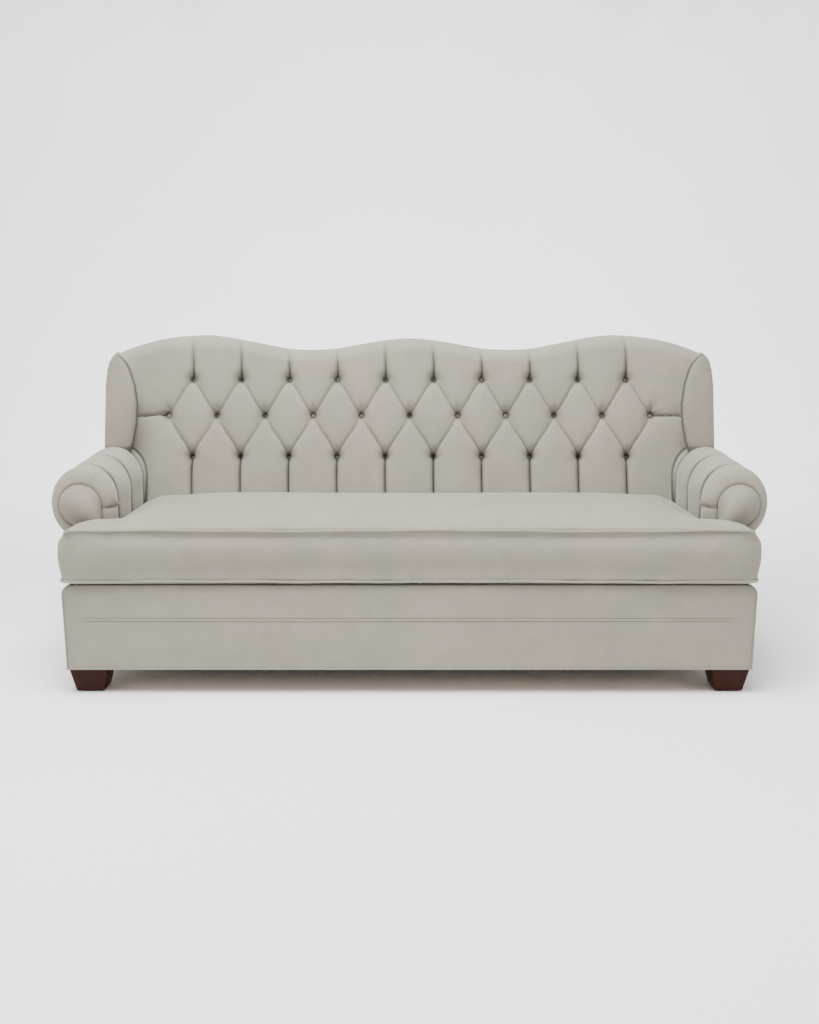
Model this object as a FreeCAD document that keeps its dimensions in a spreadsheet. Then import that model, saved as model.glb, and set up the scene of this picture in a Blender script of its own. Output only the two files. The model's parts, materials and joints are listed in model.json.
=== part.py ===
import FreeCAD, Part
import math
import os
import re
import Sketcher
from FreeCAD import Placement, Rotation, Vector

# Sofa bed: tufted camel-back sofa with rolled arms and one bench cushion.
# A three-fold bed lies in the seat well and opens forward on knee links.
# X runs left to right, the front faces -Y, Z is up from the floor.

doc = FreeCAD.newDocument("SofaBed")
sheet = doc.addObject("Spreadsheet::Sheet", "Sizes")

# Driving dimensions, in millimetres and degrees
DRIVING = [
    ("foot_height", 77, "floor to base"),
    ("foot_top", 116, "width of a foot at its top"),
    ("foot_base", 84, "width of a foot at the floor"),
    ("foot_bevel", 7, "bevel round the foot's lower edge"),
    ("foot_setback", 12, "base front to foot"),
    ("foot_inset", 7.5, "base side to foot"),
    ("glide_radius", 17, "nail-on glide"),
    ("glide_height", 3, "nail-on glide"),
    ("bolt_radius", 4, "hanger bolt"),
    ("bolt_length", 90, "hanger bolt"),
    ("mattress_proud", 13.9, "folded mattress above the base"),
    ("base_ledge", 3.5, "base beyond the arm's outer face"),
    ("base_draw", 5.9, "how far the base draws in to its lower edge"),
    ("back_space", 287, "lower edge of the inside back to the rear of the base"),
    ("base_corner", 29, "radius of the base's upper corners"),
    ("band_height", 106, "upper band of the base"),
    ("band_step", 1.5, "lower band lies this far behind the upper"),
    ("cover_thick", 4, "padded cover on the base"),
    ("rail_thick", 22, "wooden rails"),
    ("side_padding", 8.6, "lower edge of the base to the outer rails"),
    ("mount_thick", 4, "steel mounting rails"),
    ("inner_rail_thick", 24, "inner rails"),
    ("slat_height", 18, "cross slats under the bed"),
    ("slat_width", 50, "cross slats under the bed"),
    ("slat_lift", 3, "base underside to slat"),
    ("block_size", 94, "corner block"),
    ("block_height", 60, "corner block"),
    ("welt_radius", 3.5, "piping on the base"),
    ("seat_depth", 585, "base front to the lower edge of the inside back"),
    ("back_overhang", 28, "rear of the back beyond the base"),
    ("back_rake", 13, "lean of the inside back"),
    ("back_lift", 133, "base to the lower edge of the inside back"),
    ("pad_thick", 130, "inside back over its frame"),
    ("pad_roll", 170, "inside back at its top roll"),
    ("roll_drop", 46, "height of the roll behind the frame"),
    ("roll_round", 58, "rounding of the top's front edge"),
    ("back_inset", 8, "arm's outer face to the end of the inside back"),
    ("back_gap", 2.5, "between the inside back and the arms"),
    ("shoulder_height", 136, "middle of the arm roll to where the back widens"),
    ("end_height", 664, "base to the ends of the back's top"),
    ("hump_height", 727, "base to the outer humps"),
    ("dip_height", 676, "base to the dips"),
    ("middle_height", 716, "base to the middle hump"),
    ("hump_inset", 297, "end of the back to its outer hump"),
    ("dip_inset", 382, "outer hump to dip"),
    ("row_margin", 59, "side of the inside back to the first button"),
    ("row_top_height", 579, "base to the upper row of buttons"),
    ("row_middle_height", 456, "base to the middle row"),
    ("row_low_height", 316, "base to the lower row"),
    ("tuft_depth", 24, "depth of a tuft"),
    ("tuft_half", 20, "radius of a tuft's mouth"),
    ("pleat_half", 34, "half width of a pleat"),
    ("pleat_shoulder", 15, "half width of a pleat's inner fold"),
    ("pleat_depth", 15, "depth of a pleat"),
    ("button_radius", 10, "covered button"),
    ("button_height", 9, "covered button"),
    ("back_frame_thick", 28, "wood of the back frame"),
    ("back_rail_height", 70, "rails of the back frame"),
    ("frame_lift", 40, "lower edge of the inside back to its frame"),
    ("post_width", 40, "posts of the back frame"),
    ("post_inset", 14, "side of the inside back to the back posts"),
    ("back_panel_thick", 9, "outside back"),
    ("back_panel_inset", 3.5, "side of the base to the outside back"),
    ("back_panel_drop", 34, "crest of the inside back to the outside back"),
    ("arm_setback", 127, "base front to arm front"),
    ("arm_stand", 149.5, "inner rail to the middle of the arm roll"),
    ("arm_height", 219, "base to the middle of the arm roll"),
    ("roll_radius", 108, "arm roll"),
    ("roll_rise", 28, "rise of the arm from front to back"),
    ("arm_edge_round", 34, "rounding of the arm pad at the front"),
    ("arm_outer_reach", 20.5, "middle of the arm roll to the arm's outer face"),
    ("panel_radius", 60, "round front of the arm"),
    ("panel_shift", 6.5, "the round front lies this much further in than the roll"),
    ("panel_height", 219, "base to the middle of the arm's round front"),
    ("stem_reach", 19, "middle of the round front to the outer side of its stem"),
    ("core_radius", 58, "wooden roll in the arm"),
    ("arm_board", 22, "boards of the arm frame"),
    ("panel_proud", 3, "arm front panel before the arm pad"),
    ("panel_thick", 12, "arm front panel"),
    ("channel_first", 100, "arm front to its first channel"),
    ("channel_step", 165, "between channels on the arm"),
    ("channel_half", 17, "half width of a channel"),
    ("channel_depth", 13, "depth of a channel"),
    ("wing_lead", 46, "wing before the lower edge of the inside back"),
    ("wing_bevel", 12, "softening of the wing's front edges"),
    ("wing_low_height", 84, "arm roll's middle to the wing's lower edge, cut to the arm"),
    ("wing_proud", 3.5, "wing beyond the side of the base"),
    ("wing_width", 119, "outer face of the wing to its inner edge"),
    ("wing_throat_height", 153, "arm roll's middle to where the wing narrows"),
    ("wing_waist_height", 278, "arm roll's middle to the wing's innermost point"),
    ("wing_shoulder_height", 348, "arm roll's middle to where the wing's outer edge turns in"),
    ("wing_tip_inset", 57, "outer face of the wing to its tip"),
    ("wing_tip_height", 449, "arm roll's middle to the wing's tip"),
    ("wing_board_inset", 70, "outer face of the wing to its board"),
    ("wing_board_setback", 28, "wing front to its board"),
    ("wing_board_depth", 46, "front to rear of the wing board"),
    ("wing_board_height", 394, "arm roll's middle to the top of the wing board"),
    ("arm_button_drop", 11, "middle of the arm roll to the button"),
    ("well_gap", 6, "bed to rear rail"),
    ("hinge_setback", 46, "front rail to the fold hinge"),
    ("fold_tuck", 16, "how far the folded sections reach under the back"),
    ("tube_size", 20, "square tube of the bed frames"),
    ("tube_wall", 1.5, "square tube of the bed frames"),
    ("end_gap", 2, "hinge axis to the frame's end"),
    ("mattress_thick", 63, "each mattress section"),
    ("mattress_half", 762, "half width of the mattress"),
    ("mattress_round", 14, "mattress edges"),
    ("soft_gap", 0.6, "between folded mattress sections"),
    ("frame_gap", 3, "between folded frames"),
    ("rest_gap", 0.3, "what lies on a support, above it"),
    ("deck_thick", 3, "woven deck in each bed frame"),
    ("frame_margin", 32, "edge of the mattress to the side of the head frame"),
    ("lug_thick", 4, "hinge lugs"),
    ("lug_reach", 30, "hinge axis to the lug's far end"),
    ("lug_round", 12, "hinge axis to the lug's near end"),
    ("pin_radius", 7, "hinge pins"),
    ("pin_gap", 0.3, "round each hinge pin"),
    ("head_radius", 9.5, "pin heads"),
    ("head_thick", 1.8, "pin heads"),
    ("stud_head", 1.4, "heads of the knee studs"),
    ("elbow_radius", 6, "pin between the links of a knee"),
    ("open_gap", 1.5, "round the pin of the open pivot"),
    ("link_width", 26, "flat bars of the knee links"),
    ("link_thick", 6, "flat bars of the knee links"),
    ("link_stand", 18, "side of the head frame to the upper links"),
    ("link_gap", 2, "between the links of a knee"),
    ("knee_front", 150, "base front to the front knee"),
    ("knee_pitch", 450, "front knee to rear knee"),
    ("pivot_lift", 7.7, "top of the head frame to the knee pivots"),
    ("knee_start", 5, "slope of the lower links at rest"),
    ("knee_swing", 110, "swing of the lower links"),
    ("rail_clear", 8.3, "open bed above the base"),
    ("mount_stand", 6, "lower links to the steel mounting rails"),
    ("mount_height", 42, "steel mounting rails"),
    ("leg_tube", 7, "half the width of the leg tube"),
    ("leg_pivot", 38, "fold hinge to leg pivot"),
    ("leg_lift", 1.5, "leg tube above the deck"),
    ("leg_pin", 4, "radius of the pin of a leg"),
    ("middle_leg_inset", 83, "edge of the mattress to the middle legs"),
    ("leg_nest", 100, "middle legs to foot legs"),
    ("leg_brace", 62, "floor end of a leg to its cross tube"),
    ("leg_glide", 8, "radius of a leg's rubber glide"),
    ("leg_glide_height", 16, "rubber glide"),
    ("floor_gap", 2, "open leg above the floor"),
    ("handle_reach", 30, "pull handle before the foot frame"),
    ("handle_half", 95, "half width of the pull handle"),
    ("handle_radius", 5, "pull handle"),
    ("cushion_overhang", 17, "cushion before the base at its welts"),
    ("cushion_bulge", 8, "boxing beyond the welts"),
    ("cushion_side_gap", 3.5, "between the cushion and the arms"),
    ("ear_proud", 9.5, "cushion's ears beyond the side of the base"),
    ("ear_gap", 6, "arm front to the cushion's ear"),
    ("cushion_back_gap", 3, "cushion to back pad"),
    ("welt_lift", 9.8, "underside of the cushion to its lower welt"),
    ("boxing_height", 141.6, "between the welts"),
    ("cushion_crown", 29, "crown above the upper welt"),
    ("cushion_welt_radius", 4.5, "self piping"),
    ("ear_round", 34, "outer corners of the cushion"),
    ("corner_round", 16, "inner and rear corners of the cushion"),
    ("draw_in", 9, "how far the cushion's sides draw in"),
]

# Sizes that follow from the driving ones
WORKED_OUT = [
    ("head_half", "mattress_half + frame_margin"),
    ("upper_link_half", "head_half + link_stand"),
    ("lower_link_half", "upper_link_half + link_thick + link_gap"),
    ("mount_half", "lower_link_half + link_thick + mount_stand"),
    ("inner_rail_half", "mount_half + mount_thick + inner_rail_thick"),
    ("roll_x", "inner_rail_half + arm_stand"),
    ("arm_outer_half", "roll_x + arm_outer_reach"),
    ("panel_x", "roll_x - panel_shift"),
    ("panel_stem", "panel_x + stem_reach"),
    ("base_half", "arm_outer_half + base_ledge"),
    ("base_foot_half", "base_half - base_draw"),
    ("outer_rail_half", "base_foot_half - side_padding"),
    ("back_half", "arm_outer_half - back_inset"),
    ("back_gap_half", "arm_inner_half - back_gap"),
    ("post_half", "back_gap_half - post_inset"),
    ("back_panel_half", "base_half - back_panel_inset"),
    ("wing_outer", "base_half + wing_proud"),
    ("wing_inner", "wing_outer - wing_width"),
    ("wing_tip_x", "wing_outer - wing_tip_inset"),
    ("wing_board_x", "wing_outer - wing_board_inset"),
    ("cushion_half", "arm_inner_half - cushion_side_gap"),
    ("ear_half", "base_half + ear_proud"),
    ("crest_outer_x", "back_half - hump_inset"),
    ("crest_dip_x", "crest_outer_x - dip_inset"),
    ("button_pitch", "(back_gap_half - row_margin) / 5"),
    ("upright_pitch", "post_half / 2"),
    ("middle_leg_half", "mattress_half - middle_leg_inset"),
    ("foot_leg_half", "middle_leg_half - leg_nest"),
    ("base_top", "stack_top - mattress_proud"),
    ("band_seam", "base_top - band_height"),
    ("back_low", "base_top + back_lift"),
    ("roll_z", "base_top + arm_height"),
    ("panel_z", "base_top + panel_height"),
    ("arm_button_z", "roll_z - arm_button_drop"),
    ("back_shoulder", "roll_z + shoulder_height"),
    ("crest_end", "base_top + end_height"),
    ("crest_outer", "base_top + hump_height"),
    ("crest_dip", "base_top + dip_height"),
    ("crest_middle", "base_top + middle_height"),
    ("row_top", "base_top + row_top_height"),
    ("row_middle", "base_top + row_middle_height"),
    ("row_low", "base_top + row_low_height"),
    ("wing_low", "roll_z + wing_low_height"),
    ("wing_throat", "roll_z + wing_throat_height"),
    ("wing_waist", "roll_z + wing_waist_height"),
    ("wing_shoulder", "roll_z + wing_shoulder_height"),
    ("wing_tip_z", "roll_z + wing_tip_height"),
    ("wing_board_top", "roll_z + wing_board_height"),
    ("cushion_welt_low", "cushion_low + welt_lift"),
    ("cushion_welt_high", "cushion_welt_low + boxing_height"),
    ("base_depth", "seat_depth + back_space"),
    ("back_depth", "base_depth + back_overhang"),
    ("wing_setback", "seat_depth - wing_lead"),
    ("knee_pivot", "head_top + pivot_lift"),
    ("panel_lean", "atan((back_depth - base_depth) / (crest_middle - base_top))"),
    ("panel_rise", "crest_outer - base_top - back_panel_drop"),
    ("panel_reach", "back_panel_thick * (cos(panel_lean) - 1) + panel_rise * sin(panel_lean)"),
    ("base_front", "(cushion_overhang + cushion_bulge - base_depth - panel_reach) / 2"),
    ("base_rear", "base_front + base_depth"),
    ("seam_share", "(band_seam - foot_height) / (base_top - base_corner - foot_height)"),
    ("seam_half", "base_foot_half + (base_half - base_foot_half) * seam_share"),
    ("rail_front", "base_front + cover_thick"),
    ("well_front", "rail_front + rail_thick"),
    ("well_rear", "base_rear - cover_thick - rail_thick"),
    ("rail_top", "base_top - cover_thick"),
    ("inner_rail_face", "inner_rail_half - inner_rail_thick"),
    ("slat_low", "foot_height + slat_lift"),
    ("frame_low", "slat_low + slat_height + rest_gap"),
    ("head_top", "frame_low + tube_size"),
    ("fold_z", "head_top + mattress_thick + soft_gap / 2"),
    ("middle_low", "fold_z + soft_gap / 2 + mattress_thick"),
    ("middle_top", "middle_low + tube_size"),
    ("turn_z", "middle_top + frame_gap / 2"),
    ("foot_low", "middle_top + frame_gap"),
    ("foot_deck_top", "foot_low + tube_size"),
    ("stack_top", "foot_deck_top + mattress_thick"),
    ("cushion_low", "stack_top + rest_gap"),
    ("fold_y", "well_front + hinge_setback"),
    ("turn_y", "base_front + seat_depth + fold_tuck"),
    ("head_rear", "well_rear - well_gap"),
    ("bed_end", "fold_y + end_gap"),
    ("turn_end", "turn_y - end_gap"),
    ("middle_half", "head_half - rest_gap"),
    ("foot_half", "middle_half - rest_gap"),
    ("fold_lug_x", "head_half + lug_thick + rest_gap"),
    ("turn_lug_x", "middle_half + lug_thick + rest_gap"),
    ("lift_needed", "base_top + rail_clear - frame_low"),
    ("knee_span", "sin(knee_start + knee_swing) - sin(knee_start)"),
    ("knee_length", "lift_needed / (2 * knee_span)"),
    ("knee_root", "knee_pivot - 2 * knee_length * sin(knee_start)"),
    ("knee_front_y", "base_front + knee_front"),
    ("knee_rear_y", "knee_front_y + knee_pitch"),
    ("elbow_y", "knee_length * cos(knee_start)"),
    ("elbow_z", "knee_length * sin(knee_start)"),
    ("leg_offset", "deck_thick + leg_lift + leg_tube"),
    ("middle_leg_z", "middle_low + leg_offset"),
    ("foot_leg_z", "foot_deck_top - leg_offset"),
    ("middle_leg_y", "turn_y - leg_pivot"),
    ("foot_leg_y", "fold_y + leg_pivot"),
    ("leg_drop", "fold_z + lift_needed - (middle_leg_z - fold_z) - floor_gap"),
    ("arm_front", "base_front + arm_setback"),
    ("arm_rear", "base_rear - back_panel_thick - 1"),
    ("arm_length", "arm_rear - arm_front"),
    ("arm_inner_half", "roll_x - roll_radius"),
    ("arm_board_near", "panel_thick - panel_proud"),
    ("arm_core_near", "arm_board_near + arm_board"),
    ("channel_y", "arm_front + channel_first"),
    ("stem_z", "panel_z - sqrt(panel_radius^2 - (panel_stem - panel_x)^2)"),
    ("block_x", "outer_rail_half - rail_thick - block_size / 2"),
    ("foot_x", "base_half - foot_inset - foot_top / 2"),
    ("bolt_low", "foot_height + block_height - bolt_length"),
    ("wing_front", "base_front + wing_setback"),
    ("pad_y", "base_front + seat_depth"),
    ("rake_cos", "cos(back_rake)"),
    ("rake_sin", "sin(back_rake)"),
    ("roll_loss", "roll_round * (rake_cos + rake_sin - 1)"),
    ("lean_end", "(crest_end - back_low + roll_loss) / rake_cos"),
    ("lean_outer", "(crest_outer - back_low + roll_loss) / rake_cos"),
    ("lean_dip", "(crest_dip - back_low + roll_loss) / rake_cos"),
    ("lean_middle", "(crest_middle - back_low + roll_loss) / rake_cos"),
    ("lean_shoulder", "(back_shoulder - back_low) / rake_cos"),
    ("lean_row_top", "(row_top - back_low) / rake_cos"),
    ("lean_row_middle", "(row_middle - back_low) / rake_cos"),
    ("lean_row_low", "(row_low - back_low) / rake_cos"),
    ("rail_under", "lean_dip - roll_drop - back_rail_height"),
    ("post_top", "back_low + frame_lift * rake_cos - (pad_thick + back_frame_thick) * rake_sin"),
    ("post_y", "pad_y + pad_thick / rake_cos + 4"),
    ("cushion_front", "base_front - cushion_overhang"),
    ("cushion_rear", "pad_y - cushion_back_gap"),
    ("ear_rear", "arm_front - panel_proud - ear_gap"),
]

for row, (name, number, note) in enumerate(DRIVING, 1):
    sheet.set(f"A{row}", name)
    sheet.set(f"B{row}", str(number))
    sheet.setAlias(f"B{row}", name)
    sheet.set(f"C{row}", note)
for row, (name, formula) in enumerate(WORKED_OUT, len(DRIVING) + 2):
    sheet.set(f"A{row}", name)
    sheet.set(f"B{row}", "0")
    sheet.setAlias(f"B{row}", name)
for row, (name, formula) in enumerate(WORKED_OUT, len(DRIVING) + 2):
    sheet.set(f"B{row}", "=" + formula)
doc.recompute()


KNOWN = {entry[0] for entry in DRIVING} | {entry[0] for entry in WORKED_OUT}


def size(name):
    """The value of one cell."""
    return float(sheet.get(name))


def in_sheet(text):
    """Point each size's name in an expression at its cell."""
    return re.sub(r"[a-z_]+", lambda found: "Sizes." + found[0] if found[0] in KNOWN else found[0], str(text))


def worth(text):
    """Number that an expression of the sheet's names gives."""
    return float(sheet.evalExpression(in_sheet(text)))


def bind(thing, **expressions):
    """Tie properties of an object to the sheet."""
    for name, text in expressions.items():
        thing.setExpression(name, in_sheet(text))


def place(thing, x="0", y="0", z="0"):
    """Tie an object's position to the sheet."""
    for axis, text in zip("xyz", (x, y, z)):
        thing.setExpression("Placement.Base." + axis, in_sheet(text))


def lean_back(thing):
    """Tilt an object with the inside back, about the back's lower edge."""
    thing.Placement = Placement(Vector(), Rotation(Vector(1, 0, 0), -1))
    bind(thing, **{"Placement.Rotation.Angle": "-back_rake"})
    place(thing, "0", "pad_y", "back_low")


# Helpers for pieces

def board(name, x, y, z):
    """Straight board or bar between low and high limits along each axis."""
    made = doc.addObject("Part::Box", name)
    lengths = [f"({high}) - ({low})" for low, high in (x, y, z)]
    bind(made, Length=lengths[0], Width=lengths[1], Height=lengths[2])
    place(made, x[0], y[0], z[0])
    return made


def rod(name, radius, start, end, y, z):
    """Round bar along X from start to end."""
    made = doc.addObject("Part::Cylinder", name)
    made.Placement = Placement(Vector(), Rotation(Vector(0, 1, 0), 90))
    bind(made, Radius=radius, Height=f"({end}) - ({start})")
    place(made, start, y, z)
    return made


def nut(name, radius, start, end, y, z):
    """Six-sided head or spacer along X from start to end."""
    made = doc.addObject("Part::Prism", name)
    made.Polygon = 6
    made.Placement = Placement(Vector(), Rotation(Vector(0, 1, 0), 90))
    bind(made, Circumradius=radius, Height=f"({end}) - ({start})")
    place(made, start, y, z)
    return made


def stud(name, radius, x, y, low, high):
    """Eight-sided bar along Z from low to high."""
    made = doc.addObject("Part::Prism", name)
    made.Polygon = 8
    bind(made, Circumradius=radius, Height=f"({high}) - ({low})")
    place(made, x, y, low)
    return made


def spindle(name, radius, x, y, z):
    """Eight-sided bar along Y between two limits."""
    made = doc.addObject("Part::Prism", name)
    made.Polygon = 8
    made.Placement = Placement(Vector(), Rotation(Vector(1, 0, 0), -90))
    bind(made, Circumradius=radius, Height=f"({y[1]}) - ({y[0]})")
    place(made, x, y[0], z)
    return made


def fuse(name, pieces):
    """One solid from pieces that touch or overlap."""
    made = doc.addObject("Part::MultiFuse", name)
    made.Shapes = pieces
    made.Refine = True
    return made


def cut(name, base, tool):
    """A piece with a tool taken out of it."""
    made = doc.addObject("Part::Cut", name)
    made.Base = base
    made.Tool = tool
    return made


def group(name, pieces):
    """Like pieces that share a node, each its own solid."""
    made = doc.addObject("Part::Compound", name)
    made.Links = pieces
    return made


def mirrored(name, source):
    """The same piece on the other side of the sofa."""
    made = doc.addObject("Part::Mirroring", name)
    made.Source = source
    made.Normal = Vector(1, 0, 0)
    return made


def skinned(rings):
    """Solid through rings of as many corners each, with flat faces between them."""
    quads = [
        [ring[number - 1], ring[number], following[number], following[number - 1]]
        for ring, following in zip(rings, rings[1:]) for number in range(len(ring))
    ]
    faces = [Part.Face(Part.makePolygon(quad + quad[:1])) for quad in quads + [rings[0], rings[-1]]]
    shell = Part.makeShell(faces)
    shell.sewShape()
    made = Part.makeSolid(shell)
    if made.Volume < 0:
        made.reverse()
    return made


def both(pieces):
    """Pieces and their mirror images."""
    return pieces + [mirrored(piece.Name + "_mirror", piece) for piece in pieces]


def both_sides(name, piece):
    """Separate nodes for a right-hand piece and its left-hand twin."""
    piece.Label = "right_" + name
    return [piece, mirrored("left_" + name, piece)]


def shaped(name, shape):
    """Piece whose shape is worked out from the sheet's sizes."""
    made = doc.addObject("Part::Feature", name)
    made.Shape = shape
    return made


# Helpers for sketches and bodies

def new_body(name):
    """Body for pieces made from sketches."""
    made = doc.addObject("PartDesign::Body", name)
    made.Label = name
    return made


def sketch_on(body, role, name, offset=None):
    """Empty sketch on, or at an offset from, a body's origin plane."""
    made = body.newObject("Sketcher::SketchObject", name)
    plane = next(item for item in body.Origin.OriginFeatures if item.Role == role)
    made.AttachmentSupport = [(plane, "")]
    made.MapMode = "FlatFace"
    if offset is not None:
        made.setExpression("AttachmentOffset.Base.z", in_sheet(offset))
    return made


def arc_middle(start, end, radius, side):
    """Middle of the short arc; side is 1 where its centre lies to the left of the way it runs."""
    chord = end - start
    normal = Vector(-chord.y, chord.x, 0) / chord.Length
    rise = radius - math.sqrt(radius ** 2 - chord.Length ** 2 / 4)
    return (start + end) / 2 - normal * side * rise


def draw(sketch, steps):
    """Closed outline of lines and arcs, tied to the sheet.

    A step is the (x, y) where a line ends, or (x, y, radius, side) where an arc ends.
    """
    corners = [Vector(worth(step[0]), worth(step[1]), 0) for step in steps]
    starts = []
    for number, step in enumerate(steps):
        begin = corners[number - 1]
        end = corners[number]
        if len(step) == 2:
            sketch.addGeometry(Part.LineSegment(begin, end), False)
            starts.append((1, 2))
        else:
            middle = arc_middle(begin, end, worth(step[2]), step[3])
            sketch.addGeometry(Part.Arc(begin, middle, end), False)
            starts.append((1, 2) if step[3] == 1 else (2, 1))
    for number, step in enumerate(steps):
        following = (number + 1) % len(steps)
        join = ("Coincident", number, starts[number][1], following, starts[following][0])
        sketch.addConstraint(Sketcher.Constraint(*join))
        for kind, text in (("DistanceX", step[0]), ("DistanceY", step[1])):
            tie = Sketcher.Constraint(kind, -1, 1, number, starts[number][1], worth(text))
            sketch.setExpression(f"Constraints[{sketch.addConstraint(tie)}]", in_sheet(text))
        if len(step) == 4:
            tie = Sketcher.Constraint("Radius", number, worth(step[2]))
            sketch.setExpression(f"Constraints[{sketch.addConstraint(tie)}]", in_sheet(step[2]))


def pad(body, sketch, length, name, backwards=False):
    """Extrude a sketch."""
    made = body.newObject("PartDesign::Pad", name)
    made.Profile = sketch
    made.Reversed = backwards
    bind(made, Length=length)
    return made


def elevation(name, steps, thickness):
    """Body whose outline is seen from the front and which runs back by its thickness."""
    body = new_body(name)
    sketch = sketch_on(body, "XZ_Plane", name + "_outline")
    draw(sketch, steps)
    pad(body, sketch, thickness, name + "_pad", True)
    return body


def matching(shape, test):
    """Names of the edges whose bounding box passes a test."""
    return [f"Edge{number}" for number, edge in enumerate(shape.Edges, 1) if test(edge.BoundBox)]


def rounded(body, radius, test, name):
    """Round the edges of a body's tip that pass a test."""
    doc.recompute()
    tip = body.Tip
    made = body.newObject("PartDesign::Fillet", name)
    made.Base = (tip, matching(tip.Shape, test))
    bind(made, Radius=radius)
    return made


def bevelled(body, width, test, name):
    """Bevel the edges of a body's tip that pass a test."""
    doc.recompute()
    tip = body.Tip
    made = body.newObject("PartDesign::Chamfer", name)
    made.Base = (tip, matching(tip.Shape, test))
    bind(made, Size=width)
    return made


# Base: rails, slats and corner blocks

def build_base(screws):
    """Wooden box that carries the arms, the back and the bed."""
    full = ("-outer_rail_half", "outer_rail_half")
    height = ("foot_height", "rail_top")
    between = ("well_front", "well_rear")
    front = board("front_rail", full, ("rail_front", "well_front"), height)
    back = board("back_rail", full, ("well_rear", "well_rear + rail_thick"), height)
    outer = board("outer_rail", ("outer_rail_half - rail_thick", "outer_rail_half"), between, height)
    plank = board("inner_plank", ("inner_rail_face", "inner_rail_half"), between, height)
    inner = cut("inner_rail", plank, screws)
    spots = {
        "front": ("inner_rail_face", "knee_front_y - lug_reach - rest_gap - slat_width"),
        "middle": ("mount_half - rest_gap", "(knee_front_y + knee_rear_y) / 2 + slat_width / 2"),
        "rear": ("inner_rail_face", "head_rear - slat_width"),
    }
    slats = [
        board(f"{end}_slat", (f"-1 * ({half})", half), (y, y + " + slat_width"),
              ("slat_low", "slat_low + slat_height"))
        for end, (half, y) in spots.items()
    ]
    blocks = []
    for end, y in (("front", "well_front"), ("back", "well_rear - block_size")):
        block = board(
            f"{end}_block", ("block_x - block_size / 2", "block_x + block_size / 2"),
            (y, y + " + block_size"), ("foot_height", "foot_height + block_height"),
        )
        bore = stud(f"{end}_bore", "bolt_radius", "block_x", y + " + block_size / 2", "bolt_low", "rail_top")
        blocks.append(cut(f"{end}_drilled_block", block, bore))
    rails = [front, back] + both_sides("outer_rail", outer) + both_sides("inner_rail", inner)
    return rails + [group("bed_slats", slats), group("corner_blocks", both(blocks))]


# Feet: tapered blocks, each with a hanger bolt and a glide

def wedge(name, low_half, high_half, y, low, high):
    """Square block under a base corner that widens from low to high."""
    made = doc.addObject("Part::Wedge", name)
    made.Placement = Placement(Vector(), Rotation(Vector(1, 0, 0), 90))
    bind(made, Xmin=f"-1 * ({low_half})", Xmax=low_half, Zmin=f"-1 * ({low_half})", Zmax=low_half)
    bind(made, X2min=f"-1 * ({high_half})", X2max=high_half, Z2min=f"-1 * ({high_half})", Z2max=high_half)
    bind(made, Ymin=low, Ymax=high)
    place(made, "foot_x", y, "0")
    return made


def build_feet():
    """Four tapered feet under the corner blocks."""
    nodes = []
    bolts = []
    glides = []
    spots = {
        "front": ("base_front + foot_setback + foot_top / 2", "well_front + block_size / 2"),
        "back": ("base_rear - foot_setback - foot_top / 2", "well_rear - block_size / 2"),
    }
    for end, (y, bolt_y) in spots.items():
        toe = wedge(end + "_foot_toe", "foot_base / 2 - foot_bevel", "foot_base / 2", y,
                    "glide_height", "glide_height + foot_bevel")
        shank = wedge(end + "_foot_shank", "foot_base / 2", "foot_top / 2", y,
                      "glide_height + foot_bevel", "foot_height")
        bolt = stud(end + "_bolt", "bolt_radius", "block_x", bolt_y, "bolt_low", "bolt_low + bolt_length")
        foot = cut(end + "_foot", fuse(end + "_foot_block", [toe, shank]), bolt)
        nodes += [foot, mirrored(f"left_{end}_foot", foot)]
        foot.Label = f"right_{end}_foot"
        bolts.append(bolt)
        glides.append(stud(end + "_glide", "glide_radius", "foot_x", y, "0", "glide_height"))
    return nodes + [group("foot_bolts", both(bolts)), group("foot_glides", both(glides))]


# Covers of the base

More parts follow.
